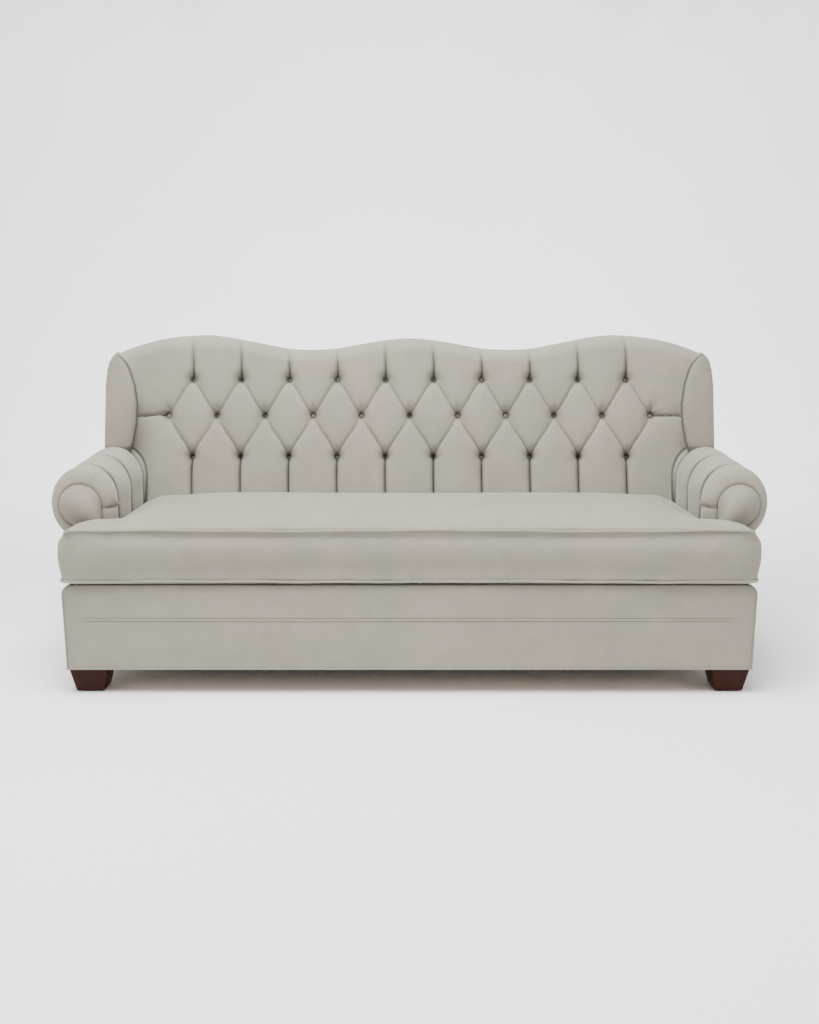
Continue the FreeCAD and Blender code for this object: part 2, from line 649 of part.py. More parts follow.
def build_covers():
    """Two padded bands across the front, side covers, rear cover, seat deck and piping."""
    upper = elevation("base_upper_band", [
        ("-seam_half", "band_seam"),
        ("seam_half", "band_seam"),
        ("base_half", "base_top - base_corner"),
        ("base_half - base_corner", "base_top", "base_corner", 1),
        ("base_corner - base_half", "base_top"),
        ("-base_half", "base_top - base_corner", "base_corner", 1),
    ], "cover_thick")
    place(upper, "0", "base_front", "0")
    lower = elevation("base_lower_band", [
        ("-base_foot_half", "foot_height"),
        ("base_foot_half", "foot_height"),
        ("seam_half", "band_seam"),
        ("-seam_half", "band_seam"),
    ], "cover_thick - band_step")
    place(lower, "0", "base_front + band_step", "0")
    side = elevation("side_cover", [
        ("outer_rail_half", "foot_height"),
        ("base_foot_half", "foot_height"),
        ("base_half", "base_top - base_corner"),
        ("base_half - base_corner", "base_top", "base_corner", 1),
        ("base_half - base_corner", "rail_top"),
        ("outer_rail_half", "rail_top"),
    ], "base_depth - cover_thick")
    place(side, "0", "rail_front", "0")
    rear = board(
        "base_back_cover", ("-outer_rail_half", "outer_rail_half"),
        ("base_rear - cover_thick", "base_rear"), ("foot_height", "rail_top"),
    )
    deck_z = ("rail_top", "base_top")
    deck_half = "base_half - base_corner"
    lip = board("deck_lip", (f"-1 * ({deck_half})", deck_half), ("rail_front", "well_front"), deck_z)
    ledge = board("deck_ledge", ("inner_rail_face", deck_half), ("well_front", "base_rear"), deck_z)
    rear_lip = board(
        "deck_rear_lip", ("-inner_rail_face", "inner_rail_face"), ("well_rear", "base_rear"), deck_z,
    )
    seam = rod("seam_welt", "welt_radius", "-base_foot_half", "base_foot_half", "base_front - 1", "band_seam")
    hem = rod(
        "hem_welt", "welt_radius", "-base_foot_half", "base_foot_half",
        "base_front - 1", "foot_height + welt_radius",
    )
    bands = [cut("upper_band_sewn", upper, seam), cut("lower_band_sewn", lower, fuse("welts", [seam, hem]))]
    bands[0].Label = "upper_band"
    bands[1].Label = "lower_band"
    nodes = bands + both_sides("side_cover", side)
    deck_boards = group("seat_deck", both([ledge]) + [lip, rear_lip])
    return nodes + [rear, deck_boards, group("base_welts", [seam, hem])]


# Back: wooden frame, tufted inside back, buttons and outside back

def crest_way(half, levels):
    """Points and arcs of the camel-back top, from its right end to its left end."""
    end, outer, dip, middle = levels
    outer_radius = f"((crest_outer_x - crest_dip_x)^2 + ({outer} - {dip})^2) / (4 * ({outer} - {dip}))"
    middle_radius = f"(crest_dip_x^2 + ({middle} - {dip})^2) / (4 * ({middle} - {dip}))"
    end_radius = f"(({half} - crest_outer_x)^2 + ({outer} - {end})^2) / (2 * ({outer} - {end}))"
    right = [
        (half, end),
        ("crest_outer_x", outer),
        ("(crest_outer_x + crest_dip_x) / 2", f"({outer} + {dip}) / 2"),
        ("crest_dip_x", dip),
        ("crest_dip_x / 2", f"({middle} + {dip}) / 2"),
    ]
    left = [(f"-1 * {x}", z) for x, z in reversed(right)]
    half_arcs = [
        (end_radius, 1), (outer_radius, 1), (outer_radius, -1), (middle_radius, -1), (middle_radius, 1),
    ]
    return right + [("0", middle)] + left, half_arcs + half_arcs[::-1]


def crest(half, levels, drop="0"):
    """Outline steps along the top, from right to left; the first one is a line's end."""
    points, arcs = crest_way(half, levels)
    lowered = [(x, f"{z} - {drop}") for x, z in points]
    return [lowered[0]] + [(*lowered[number + 1], *arc) for number, arc in enumerate(arcs)]


def crest_back(half, levels, drop):
    """The same steps from left to right."""
    points, arcs = crest_way(half, levels)
    lowered = [(x, f"{z} - {drop}") for x, z in points]
    back = [(*lowered[number], arc[0], -arc[1]) for number, arc in enumerate(arcs)]
    return [lowered[-1]] + back[::-1]


LEANING = ("lean_end", "lean_outer", "lean_dip", "lean_middle")


def back_block():
    """Inside back before its tufts: a leaning pad with a roll over the frame."""
    shoulders = [
        ("-back_half", "lean_shoulder"), ("-back_gap_half", "lean_shoulder"), ("-back_gap_half", "0"),
        ("back_gap_half", "0"), ("back_gap_half", "lean_shoulder"), ("back_half", "lean_shoulder"),
    ]
    body = elevation("inside_back_block", crest("back_half", LEANING) + shoulders, "pad_thick")
    sketch = sketch_on(body, "XZ_Plane", "back_roll_outline", "-pad_thick")
    draw(sketch, crest("back_half", LEANING) + crest_back("back_half", LEANING, "roll_drop"))
    pad(body, sketch, "pad_roll - pad_thick", "back_roll", True)
    top = size("lean_end") - 1
    rounded(body, "roll_round", lambda box: box.YMax < 0.01 and box.ZMin > top, "back_roll_round")
    lean_back(body)
    return body


def button_rows():
    """Places of the buttons on the leaning face, row by row from the top."""
    pitch = size("button_pitch")
    rows = []
    for level, count in (("lean_row_top", 10), ("lean_row_middle", 11), ("lean_row_low", 10)):
        rows.append([((number - (count - 1) / 2) * pitch, size(level)) for number in range(count)])
    return rows


def pleat_lines():
    """Ends of each pleat: diagonals between rows, uprights at top and bottom, one out to each wing."""
    top, middle, low = button_rows()
    lines = []
    for row in (top, low):
        for number, button in enumerate(row):
            lines.append((button, middle[number]))
            lines.append((button, middle[number + 1]))
    lines += [(button, (button[0], size("lean_outer") + 10)) for button in top]
    lines += [(button, (button[0], -10)) for button in low]
    for button, side in ((middle[0], -1), (middle[-1], 1)):
        lines.append((button, (side * (size("back_gap_half") + 40), button[1])))
    return lines


def pleat(start, end):
    """Folded groove in the leaning face from one point to another."""
    begin = Vector(start[0], 0, start[1])
    way = Vector(end[0], 0, end[1]) - begin
    across = Vector(-way.z, 0, way.x) / way.Length
    half = size("pleat_half")
    shoulder = size("pleat_shoulder")
    deep = size("pleat_depth")
    section = [(-half, -3), (-half, 0), (-shoulder, 0.45 * deep), (0, deep)]
    section += [(-x, y) for x, y in reversed(section[:3])]
    corners = [begin + across * x + Vector(0, y, 0) for x, y in section]
    return Part.Face(Part.makePolygon(corners + corners[:1])).extrude(way)


def eight_sided(x, up, rings):
    """Solid on the leaning face through eight-sided rings, each a radius and a depth."""
    turns = [math.radians(45 * number + 22.5) for number in range(8)]
    return skinned([
        [Vector(x + radius * math.cos(turn), depth, up + radius * math.sin(turn)) for turn in turns]
        for radius, depth in rings
    ])


def tuft(x, up):
    """Hollow that a button sits in."""
    mouth = (size("tuft_half") * 1.15, -3)
    return eight_sided(x, up, [mouth, (size("button_radius") + 1, size("tuft_depth"))])


def button_cap(x, up):
    """Covered button at the bottom of a tuft."""
    radius = size("button_radius")
    deep = size("tuft_depth")
    height = size("button_height")
    return eight_sided(x, up, [(radius, deep), (radius, deep - height / 2), (radius * 0.6, deep - height)])


def build_back(arm_blocks):
    """Tufted pad on a wooden frame, with its buttons and an outside back."""
    block = back_block()
    hollows = [pleat(*line) for line in pleat_lines()]
    hollows += [tuft(*spot) for row in button_rows() for spot in row]
    tufting = shaped("tufting", Part.makeCompound(hollows))
    lean_back(tufting)
    level = board(
        "back_underside", ("-outer_rail_half", "outer_rail_half"),
        ("pad_y - pad_roll", "pad_y + 2 * pad_roll"), ("base_top", "back_low"),
    )
    tools = doc.addObject("Part::Compound", "inside_back_tools")
    tools.Links = [level] + arm_blocks
    trimmed = cut("inside_back_trimmed", block, tools)
    inside = cut("inside_back", trimmed, tufting)

    buttons = shaped("back_buttons", Part.makeCompound([
        button_cap(*spot) for row in button_rows() for spot in row
    ]))
    lean_back(buttons)

    rail = elevation("back_top_rail", crest("post_half", LEANING, "roll_drop") + [
        ("-post_half", "rail_under"), ("post_half", "rail_under"),
    ], "back_frame_thick")
    posts = {
        "right_back_post": ("post_half - post_width", "post_half"),
        "left_back_post": ("-post_half", "post_width - post_half"),
        "right_upright": ("upright_pitch - post_width / 2", "upright_pitch + post_width / 2"),
        "middle_upright": ("-post_width / 2", "post_width / 2"),
        "left_upright": ("-upright_pitch - post_width / 2", "post_width / 2 - upright_pitch"),
    }
    rail_over = "frame_lift + back_rail_height"
    frame = [rail, elevation("back_low_rail", [
        ("-post_half", "frame_lift"), ("post_half", "frame_lift"),
        ("post_half", rail_over), ("-post_half", rail_over),
    ], "back_frame_thick")]
    for name, (low, high) in posts.items():
        steps = [(low, rail_over), (high, rail_over), (high, "rail_under"), (low, "rail_under")]
        frame.append(elevation(name, steps, "back_frame_thick"))
    for member in frame:
        lean_back(member)
        place(member, "0", "pad_y + pad_thick * rake_cos", "back_low - pad_thick * rake_sin")
    leg = board(
        "back_leg", ("post_half - post_width", "post_half"),
        ("post_y", "post_y + back_frame_thick"), ("base_top", "post_top"),
    )
    frame += both([leg])

    levels = ("crest_end", "crest_outer", "crest_dip", "crest_middle")
    raised = [f"({level} - base_top)" for level in levels]
    panel = elevation("outside_back", crest("back_panel_half", raised, "back_panel_drop") + [
        ("-back_panel_half", "0"), ("back_panel_half", "0"),
    ], "back_panel_thick")
    panel.Placement = Placement(Vector(), Rotation(Vector(1, 0, 0), -1))
    bind(panel, **{"Placement.Rotation.Angle": "-panel_lean"})
    place(panel, "0", "base_rear - back_panel_thick", "base_top + back_panel_thick * sin(panel_lean)")
    return [inside, buttons, group("back_frame", frame), panel], block


# Arms: wooden frame, channelled roll, round front panel and button

def keyhole(stem_low):
    """Outline of the arm's front panel: a round head on a straight stem."""
    return [
        ("panel_x - panel_radius", stem_low),
        ("panel_stem", stem_low),
        ("panel_stem", "stem_z"),
        ("panel_x + panel_radius", "panel_z", "panel_radius", 1),
        ("panel_x", "panel_z + panel_radius", "panel_radius", 1),
        ("panel_x - panel_radius", "panel_z", "panel_radius", 1),
    ]


def sloping(name, steps, near, far):
    """Body that climbs with the arm between two distances behind the arm's front."""
    body = new_body(name)
    sketch = sketch_on(body, "XZ_Plane", name + "_outline")
    draw(sketch, steps)
    made = pad(body, sketch, f"({far}) - ({near})", name + "_pad")
    made.UseCustomVector = True
    made.AlongSketchNormal = True
    made.Direction = Vector(0, 1, 0)
    bind(made, **{"Direction.y": "arm_length", "Direction.z": "roll_rise"})
    place(body, "0", f"arm_front + {near}", f"({near}) * roll_rise / arm_length")
    return body


def arm_section(y, inset):
    """Outline of the arm at one distance behind its front, drawn in round the roll and the inner face."""
    climb = size("roll_rise") * y / size("arm_length")
    middle = Vector(size("roll_x"), size("arm_front") + y, size("roll_z") + climb)
    radius = size("roll_radius") - inset
    floor = size("base_top") - middle.z
    start = math.asin(size("arm_outer_reach") / size("roll_radius")) - math.pi / 2
    turns = [start + (math.pi - start) * number / 15 for number in range(16)]
    rim = [middle + Vector(radius * math.cos(turn), 0, radius * math.sin(turn)) for turn in turns]
    return rim + [middle + Vector(-radius, 0, floor), middle + Vector(radius * math.cos(start), 0, floor)]


def hollow_section(y):
    """Outline of the space in the arm pad at one distance behind its front, drawn round the keyhole."""
    climb = size("roll_rise") * y / size("arm_length")
    middle = Vector(size("panel_x"), size("arm_front") + y, size("panel_z") + climb)
    radius = size("panel_radius")
    floor = size("base_top") - middle.z - size("roll_rise")
    start = -math.acos(size("stem_reach") / radius)
    half_step = (math.pi - start) / 24
    turns = [start + half_step * (2 * number + 1) for number in range(12)]
    reach = radius / math.cos(half_step)
    head = [middle + Vector(reach * math.cos(turn), 0, reach * math.sin(turn)) for turn in turns]
    foot = [(-radius, floor), (size("stem_reach"), floor), (size("stem_reach"), radius * math.sin(start))]
    return head + [middle + Vector(x, 0, z) for x, z in foot]


def arm_form():
    """The right arm's outer form: its soft front edge, its roll and the channels across it."""
    soft = size("arm_edge_round")
    half = size("channel_half")
    deep = size("channel_depth")
    sections = [(0, 0.62 * soft), (0.12 * soft, 0.3 * soft), (0.45 * soft, 0.08 * soft), (soft, 0)]
    for number in range(3):
        y = size("channel_first") + number * size("channel_step")
        sections += [(y - half, 0), (y - 0.4 * half, 0.6 * deep), (y, deep)]
        sections += [(y + 0.4 * half, 0.6 * deep), (y + half, 0)]
    sections.append((size("arm_length"), 0))
    return shaped("arm_form", skinned([arm_section(*section) for section in sections]))


def build_arms(form):
    """Both arms: wooden frames, channelled pads, front panels, buttons and wing boards."""
    foot = "base_top - ({near}) * roll_rise / arm_length"
    rear_near = "arm_length - arm_board"
    front_board = sloping(
        "arm_front_board", keyhole(foot.format(near="arm_board_near")), "arm_board_near", "arm_core_near",
    )
    rear_board = sloping("arm_rear_board", keyhole(foot.format(near=rear_near)), rear_near, "arm_length")
    core = sloping("arm_core", [
        ("panel_x + core_radius", "panel_z", "core_radius", 1),
        ("panel_x", "panel_z + core_radius", "core_radius", 1),
        ("panel_x - core_radius", "panel_z", "core_radius", 1),
        ("panel_x", "panel_z - core_radius", "core_radius", 1),
    ], "arm_core_near", rear_near)
    sill = board(
        "arm_sill", ("panel_x - panel_radius", "panel_stem"),
        ("arm_front + arm_core_near", "arm_rear - arm_board"), ("base_top", "base_top + post_width"),
    )
    frame = group("arm_frame", [front_board, rear_board, core, sill])
    panel = sloping("arm_panel", keyhole("base_top + panel_proud * roll_rise / arm_length"),
                    "-panel_proud", "arm_board_near")

    plank = board(
        "wing_plank", ("wing_board_x", "wing_board_x + arm_board"),
        ("wing_front + wing_board_setback", "wing_front + wing_board_setback + wing_board_depth"),
        ("panel_z", "wing_board_top"),
    )
    wing_board = cut("wing_board", plank, core)
    hollow = shaped("arm_hollow", skinned([
        hollow_section(-size("panel_proud")), hollow_section(size("arm_length") + 1),
    ]))
    seat = "arm_inner_half + channel_depth + 1"
    pocket = rod("arm_button_pocket", "button_radius + pin_gap", "arm_inner_half - 5", seat,
                 "channel_y", "arm_button_z")
    button = rod("arm_button", "button_radius", "arm_inner_half + 4", seat, "channel_y", "arm_button_z")
    padding = cut("arm_pad", form, group("arm_tools", [hollow, plank, pocket]))
    nodes = both_sides("arm_frame", frame) + both_sides("arm_panel", panel) + both_sides("arm_pad", padding)
    return nodes + [group("arm_buttons", both([button])), group("wing_boards", both([wing_board]))], plank


# Wings

def build_wings(back_form, form, plank):
    """Padded wings between the arms and the back."""
    body = elevation("wing_form", [
        ("wing_inner + 47", "wing_low"),
        ("wing_outer", "wing_low"),
        ("wing_outer", "wing_throat"),
        ("wing_outer - 12", "wing_shoulder"),
        ("wing_outer - 23", "wing_shoulder + 58", "250", 1),
        ("wing_tip_x", "wing_tip_z", "75", 1),
        ("wing_tip_x - 32", "wing_tip_z - 37", "60", 1),
        ("wing_inner", "wing_waist", "600", 1),
        ("wing_inner + 18", "wing_throat", "260", 1),
    ], "back_depth - wing_setback")
    low = size("wing_low") + 1
    bevelled(body, "wing_bevel", lambda box: box.YMax < 0.01 and box.ZMax > low, "wing_edge")
    place(body, "0", "wing_front", "0")
    filling = elevation("back_space", [
        ("0", "0"), ("back_half", "0"), ("back_half", "2 * back_low"), ("0", "2 * back_low"),
    ], "2 * pad_roll")
    lean_back(filling)
    place(filling, "0", "pad_y + (roll_round + 2) * rake_cos", "back_low - (roll_round + 2) * rake_sin")
    behind = elevation("behind_back", [
        ("0", "0"), ("2 * back_half", "0"), ("2 * back_half", "2 * base_top"), ("0", "2 * base_top"),
    ], "2 * pad_roll")
    behind.Placement = Placement(Vector(), Rotation(Vector(1, 0, 0), -1))
    bind(behind, **{"Placement.Rotation.Angle": "-panel_lean"})
    place(behind, "0", "base_rear - back_panel_thick", "base_top + back_panel_thick * sin(panel_lean)")
    wing = cut("wing_pad", body, group("wing_tools", [back_form, form, plank, filling, behind]))
    return both_sides("wing_pad", wing)


# Knee links: steel rails on the inner rails, links and pins

def build_mounts():
    """Steel rails that carry the lower pivots of the knees, and their wood screws."""
    pieces = [board(
        "mount_plate", ("mount_half", "inner_rail_face"),
        ("knee_front_y - lug_reach", "knee_rear_y + lug_reach"),
        ("knee_root - lug_round", "knee_root + mount_height"),
    )]
    screws = []
    inside = "lower_link_half - rest_gap"
    for end in ("front", "rear"):
        spot = (f"knee_{end}_y", "knee_root")
        pieces.append(nut(end + "_mount_collar", "head_radius", "lower_link_half + link_thick + rest_gap",
                          "mount_half", *spot))
        pieces.append(rod(end + "_mount_stud", "pin_radius", inside, "mount_half", *spot))
        pieces.append(nut(end + "_mount_head", "head_radius", inside + " - stud_head", inside, *spot))
        screws.append(nut(end + "_mount_bolt", "bolt_radius", "mount_half - 2.5", "mount_half + link_width",
                          f"knee_{end}_y", "knee_root + mount_height - lug_round"))
    holes = group("mount_holes", screws)
    rail = cut("mount_rail", fuse("mount_blank", pieces), holes)
    return both_sides("mount_rail", rail) + [group("mount_bolts", both(screws))], holes


def link(name, x, z, y, slope, radii):
    """Flat bar with round ends, along a slope from its pivot to its elbow."""
    bar = doc.addObject("Part::Box", name + "_bar")
    bar.Placement = Placement(Vector(), Rotation(Vector(1, 0, 0), 1))
    bind(bar, Length="link_thick", Width="knee_length", Height="link_width")
    bind(bar, **{"Placement.Rotation.Angle": slope})
    place(bar, x, f"{y} + link_width / 2 * sin({slope})", f"{z} - link_width / 2 * cos({slope})")
    ends = [(y, z), (f"{y} + knee_length * cos({slope})", f"{z} + knee_length * sin({slope})")]
    discs = []
    holes = []
    for part, spot, radius in zip(("pivot", "elbow"), ends, radii):
        discs.append(rod(f"{name}_{part}", "link_width / 2", x, f"{x} + link_thick", *spot))
        holes.append(rod(f"{name}_{part}_hole", radius, f"{x} - 1", f"{x} + link_thick + 1", *spot))
    return cut(name, fuse(name + "_blank", [bar] + discs), group(name + "_holes", holes))


def build_links():
    """Four knees: a lower link on the sofa, an upper link to the bed, and the pin between them."""
    nodes = []
    for end, play in (("rear", "pin_gap"), ("front", "open_gap")):
        y = f"knee_{end}_y"
        lower = link(end + "_lower_link", "lower_link_half", "knee_root", y, "knee_start",
                     ("pin_radius + pin_gap", "elbow_radius"))
        upper = link(end + "_upper_link", "upper_link_half", "knee_pivot", y, "-knee_start",
                     (f"pin_radius + {play}", "elbow_radius + pin_gap"))
        spot = (f"{y} + elbow_y", "knee_root + elbow_z")
        inside = "upper_link_half - rest_gap"
        outside = "lower_link_half + link_thick + rest_gap"
        pin = fuse(end + "_elbow_pin", [
            rod(end + "_elbow_rod", "elbow_radius", inside, outside, *spot),
            nut(end + "_elbow_inner_head", "head_radius", inside + " - head_thick", inside, *spot),
            nut(end + "_elbow_outer_head", "head_radius", outside, outside + " + head_thick", *spot),
        ])
        nodes.append(group(end + "_lower_links", both([lower])))
        nodes.append(group(end + "_upper_links", both([upper])))
        nodes.append(group(end + "_elbow_pins", both([pin])))
    return nodes


# Bed: three folded sections of frame, deck and mattress

def tube(name, x, y, z, along):
    """Hollow square tube that runs along one axis."""
    limits = []
    for axis, (low, high) in zip("xyz", (x, y, z)):
        limits.append((low, high) if axis == along else (f"{low} + tube_wall", f"{high} - tube_wall"))
    return cut(name, board(name + "_outside", x, y, z), board(name + "_bore", *limits))


def bed_frame(name, half, rear, low):
    """Side and end tubes of one section."""
    z = (low, low + " + tube_size")
    side = tube(name + "_side", (half + " - tube_size", half), ("bed_end", rear), z, "y")
    width = (f"tube_size - {half}", half + " - tube_size")
    front = tube(name + "_front", width, ("bed_end", "bed_end + tube_size"), z, "x")
    back = tube(name + "_back", width, (rear + " - tube_size", rear), z, "x")
    return both([side]) + [front, back]


def deck(name, half, rear, low):
    """Woven deck inside a section's frame."""
    return board(
        name, (f"tube_size - {half}", half + " - tube_size"),
        ("bed_end + tube_size", rear + " - tube_size"), (low, low + " + deck_thick"),
    )


def mattress(name, rear, low):
    """One section of the mattress, with soft edges."""
    body = new_body(name)
    sketch = sketch_on(body, "XY_Plane", name + "_outline", low)
    draw(sketch, [
        ("-mattress_half", "bed_end"), ("mattress_half", "bed_end"),
        ("mattress_half", rear), ("-mattress_half", rear),
    ])
    pad(body, sketch, "mattress_thick", name + "_pad")
    bevelled(body, "mattress_round", lambda box: True, name + "_edges")
    return body


def pin_on(name, start, length, y, z):
    """Hinge pin and its head, pointing outwards."""
    end = f"{start} + {length}"
    return [
        rod(name + "_rod", "pin_radius", start, end, y, z),
        nut(name + "_head", "head_radius", end, end + " + head_thick", y, z),
    ]


def build_sections():
    """Head section on the knees, then the middle and the foot section folded over it."""
    fold_span = ("fold_y - lug_round", "fold_y + lug_reach")
    turn_span = ("turn_y - lug_reach", "turn_y + lug_round")
    reach = "lug_thick + 2 * rest_gap"

    fold_lug = board("head_fold_lug", ("head_half", "head_half + lug_thick"), fold_span,
                     ("frame_low", "fold_z + lug_round"))
    head_parts = [fuse("head_lug", [fold_lug] + pin_on(
        "fold_pin", "head_half + lug_thick", reach, "fold_y", "fold_z"))]
    collar_end = "upper_link_half - rest_gap"
    stud_end = "upper_link_half + link_thick + rest_gap"
    for end in ("front", "rear"):
        spot = (f"knee_{end}_y", "knee_pivot")
        plate = board(
            end + "_knee_plate", ("head_half", "head_half + lug_thick"),
            (f"knee_{end}_y - tube_size", f"knee_{end}_y + tube_size"), ("frame_low", "knee_pivot + 14"),
        )
        head_parts.append(fuse(end + "_knee_stud", [
            plate,
            nut(end + "_knee_collar", "head_radius", "head_half + lug_thick", collar_end, *spot),
            rod(end + "_knee_rod", "pin_radius", collar_end, stud_end, *spot),
            nut(end + "_knee_head", "head_radius", stud_end, stud_end + " + stud_head", *spot),
        ]))
    cross = [
        tube(f"head_cross_{number}", ("tube_size - head_half", "head_half - tube_size"),
             (f"knee_{end}_y + elbow_y / 2", f"knee_{end}_y + elbow_y / 2 + tube_size"),
             ("frame_low", "head_top - deck_thick"), "x")
        for number, end in enumerate(("front", "rear"), 1)
    ]
    head = bed_frame("head_tube", "head_half", "head_rear", "frame_low") + cross + both(head_parts)

    fold_plate = fuse("middle_fold_blank", [
        board("middle_fold_plate", ("fold_lug_x", "fold_lug_x + lug_thick"), fold_span,
              ("fold_z - lug_round", "fold_z + lug_round")),
        board("middle_fold_arm", ("fold_lug_x", "fold_lug_x + lug_thick"), ("bed_end", "fold_y + lug_reach"),
              ("fold_z + lug_round", "middle_top")),
        board("middle_fold_spacer", ("middle_half", "fold_lug_x"),
              ("fold_y + lug_round + 1", "fold_y + lug_reach"), ("middle_low", "middle_top")),
    ])
    bore = rod("middle_fold_bore", "pin_radius + pin_gap", "head_half", "head_half + tube_size",
               "fold_y", "fold_z")
    turn_plate = board("middle_turn_plate", ("middle_half", "middle_half + lug_thick"), turn_span,
                       ("middle_low", "turn_z + lug_round"))
    turn_lug = fuse("middle_turn_lug", [turn_plate] + pin_on(
        "turn_pin", "middle_half + lug_thick", reach, "turn_y", "turn_z"))
    middle = bed_frame("middle_tube", "middle_half", "turn_end", "middle_low")
    middle += both([cut("middle_fold_lug", fold_plate, bore), turn_lug])
    middle += leg_brackets("middle", "middle_leg_y", "turn_end - tube_size", "middle_leg_z")

    foot_plate = fuse("foot_turn_blank", [
        board("foot_turn_plate", ("turn_lug_x", "turn_lug_x + lug_thick"), turn_span,
              ("turn_z - lug_round", "foot_deck_top")),
        board("foot_turn_spacer", ("foot_half", "turn_lug_x"),
              ("turn_y - lug_reach", "turn_y - lug_round - 2"),
              ("turn_z + lug_round + rest_gap", "foot_deck_top")),
    ])
    foot_bore = rod("foot_turn_bore", "pin_radius + pin_gap", "head_half", "head_half + tube_size",
                    "turn_y", "turn_z")
    foot = bed_frame("foot_tube", "foot_half", "turn_end", "foot_low")
    foot += both([cut("foot_turn_lug", foot_plate, foot_bore)])
    foot += leg_brackets("foot", "foot_leg_y", "bed_end + tube_size", "foot_leg_z")

    handle_y = "bed_end - handle_reach"
    handle_z = "foot_low + tube_size / 2"
    stub = spindle("handle_stub", "handle_radius", "handle_half", (handle_y + " + handle_radius", "bed_end"),
                   handle_z)
    grip = rod("handle_grip", "handle_radius", "-handle_half - handle_radius", "handle_half + handle_radius",
               handle_y, handle_z)
    return [
        group("head_frame", head), deck("head_deck", "head_half", "head_rear", "head_top - deck_thick"),
        mattress("head_mattress", "head_rear", "head_top"),
        group("middle_frame", middle), deck("middle_deck", "middle_half", "turn_end", "middle_low"),
        mattress("middle_mattress", "turn_end", "middle_low - mattress_thick"),
        group("foot_frame", foot), deck("foot_deck", "foot_half", "turn_end", "foot_deck_top - deck_thick"),
        mattress("foot_mattress", "turn_end", "foot_deck_top"),
        group("pull_handle", both([stub]) + [grip]),
    ]


# Fold-down legs of the middle and foot sections

def leg_brackets(name, y, tube_y, z):
    """Plates with pins that a section's legs turn on, fixed to the section's end tube."""
    beside = f"{name}_leg_half + leg_tube + rest_gap"
    inside = f"{name}_leg_half - leg_tube - rest_gap"
    if name == "middle":
        span = (y + " - leg_tube", tube_y)
    else:
        span = (tube_y, y + " + leg_tube")
    plate = board(name + "_leg_plate", (beside, beside + " + lug_thick"), span,
                  (z + " - leg_tube", z + " + leg_tube"))
    pin = rod(name + "_leg_pin", "leg_pin", inside, beside, y, z)
    head = nut(name + "_leg_pin_head", "leg_pin + 2", inside + " - stud_head", inside, y, z)
    return both([fuse(name + "_leg_bracket", [plate, pin, head])])


def build_leg(name, toward, y, z):
    """Two square uprights and a brace, with rubber glides; toward is -1 where the leg lies forward."""
    x = f"{name}_leg_half"
    across = (f"{x} - leg_tube", f"{x} + leg_tube")
    level = (z + " - leg_tube", z + " + leg_tube")
    glide_top = f"{y} + {toward} * (leg_drop - leg_glide_height)"
    upright = board(name + "_leg_upright", across, sorted([y, glide_top], key=worth), level)
    eye = rod(name + "_leg_eye", "leg_tube", *across, y, z)
    bore = rod(name + "_leg_bore", "leg_pin + pin_gap", f"{x} - 2 * leg_tube", f"{x} + 2 * leg_tube", y, z)
    sides = both([cut(name + "_leg_side", fuse(name + "_leg_bar", [upright, eye]), bore)])
    brace_y = f"{y} + {toward} * (leg_drop - leg_brace)"
    brace = board(name + "_leg_brace", (f"leg_tube - {x}", f"{x} - leg_tube"),
                  (brace_y + " - leg_tube", brace_y + " + leg_tube"), level)
    tips = sorted([glide_top, f"{y} + {toward} * leg_drop"], key=worth)
    glide = spindle(name + "_leg_glide", "leg_glide", x, tips, z)
    return [group(name + "_leg", sides + [brace]), group(name + "_leg_glides", both([glide]))]


# Seat cushion: one bench cushion with ears in front of the arms

def fillet_arc(before, corner, after, radius):
    """Start, middle and end of the arc that rounds one corner."""
    back = (before - corner).normalize()
    on = (after - corner).normalize()
    half_angle = math.acos(max(-1.0, min(1.0, back.dot(on)))) / 2
    reach = radius / math.tan(half_angle)
    bisector = (back + on).normalize()
    middle = corner + bisector * (radius / math.sin(half_angle) - radius)
    return corner + back * reach, middle, corner + on * reach


def cushion_outline(inset, z):
    """Closed wire round the cushion at one height; the front draws in between its corners."""
    front = size("cushion_front") - size("cushion_bulge") + inset
    ear = size("ear_half") - inset
    ear_back = size("ear_rear") - inset
    half = size("cushion_half") - inset
    lean = max(0, z - size("back_low")) * math.tan(math.radians(size("back_rake")))
    rear = size("cushion_rear") - inset + lean
    outer = size("ear_round")
    small = size("corner_round")
    right = [(ear, front, outer), (ear, ear_back, outer), (half, ear_back, small), (half, rear, small)]
    corners = right + [(-x, y, radius) for x, y, radius in reversed(right)]
    points = [Vector(x, y, z) for x, y, radius in corners]
    arcs = [
        fillet_arc(points[number - 1], point, points[(number + 1) % len(points)], corners[number][2])
        for number, point in enumerate(points)
    ]
    edges = []
    for number, (start, middle, end) in enumerate(arcs):
        edges.append(Part.Arc(start, middle, end).toShape())
        following = arcs[(number + 1) % len(arcs)][0]
        if number == len(arcs) - 1:
            dip = (end + following) / 2 + Vector(0, size("draw_in"), 0)
            edges.append(Part.Arc(end, dip, following).toShape())
        else:
            edges.append(Part.makeLine(end, following))
    return Part.Wire(edges)


def piping(inset, z):
    """Six-sided cord along the cushion's outline."""
    pieces = []
    for edge in cushion_outline(inset, z).Edges:
        start = edge.valueAt(edge.FirstParameter)
        along = edge.tangentAt(edge.FirstParameter).normalize()
        outwards = along.cross(Vector(0, 0, 1))
        radius = size("cushion_welt_radius")
        turns = [math.radians(60 * number) for number in range(7)]
        rim = [outwards * (radius * math.cos(turn)) + Vector(0, 0, radius * math.sin(turn)) for turn in turns]
        ring = Part.makePolygon([start + corner for corner in rim])
        pieces.append(Part.Wire([edge]).makePipeShell([ring], True, False))
    return pieces


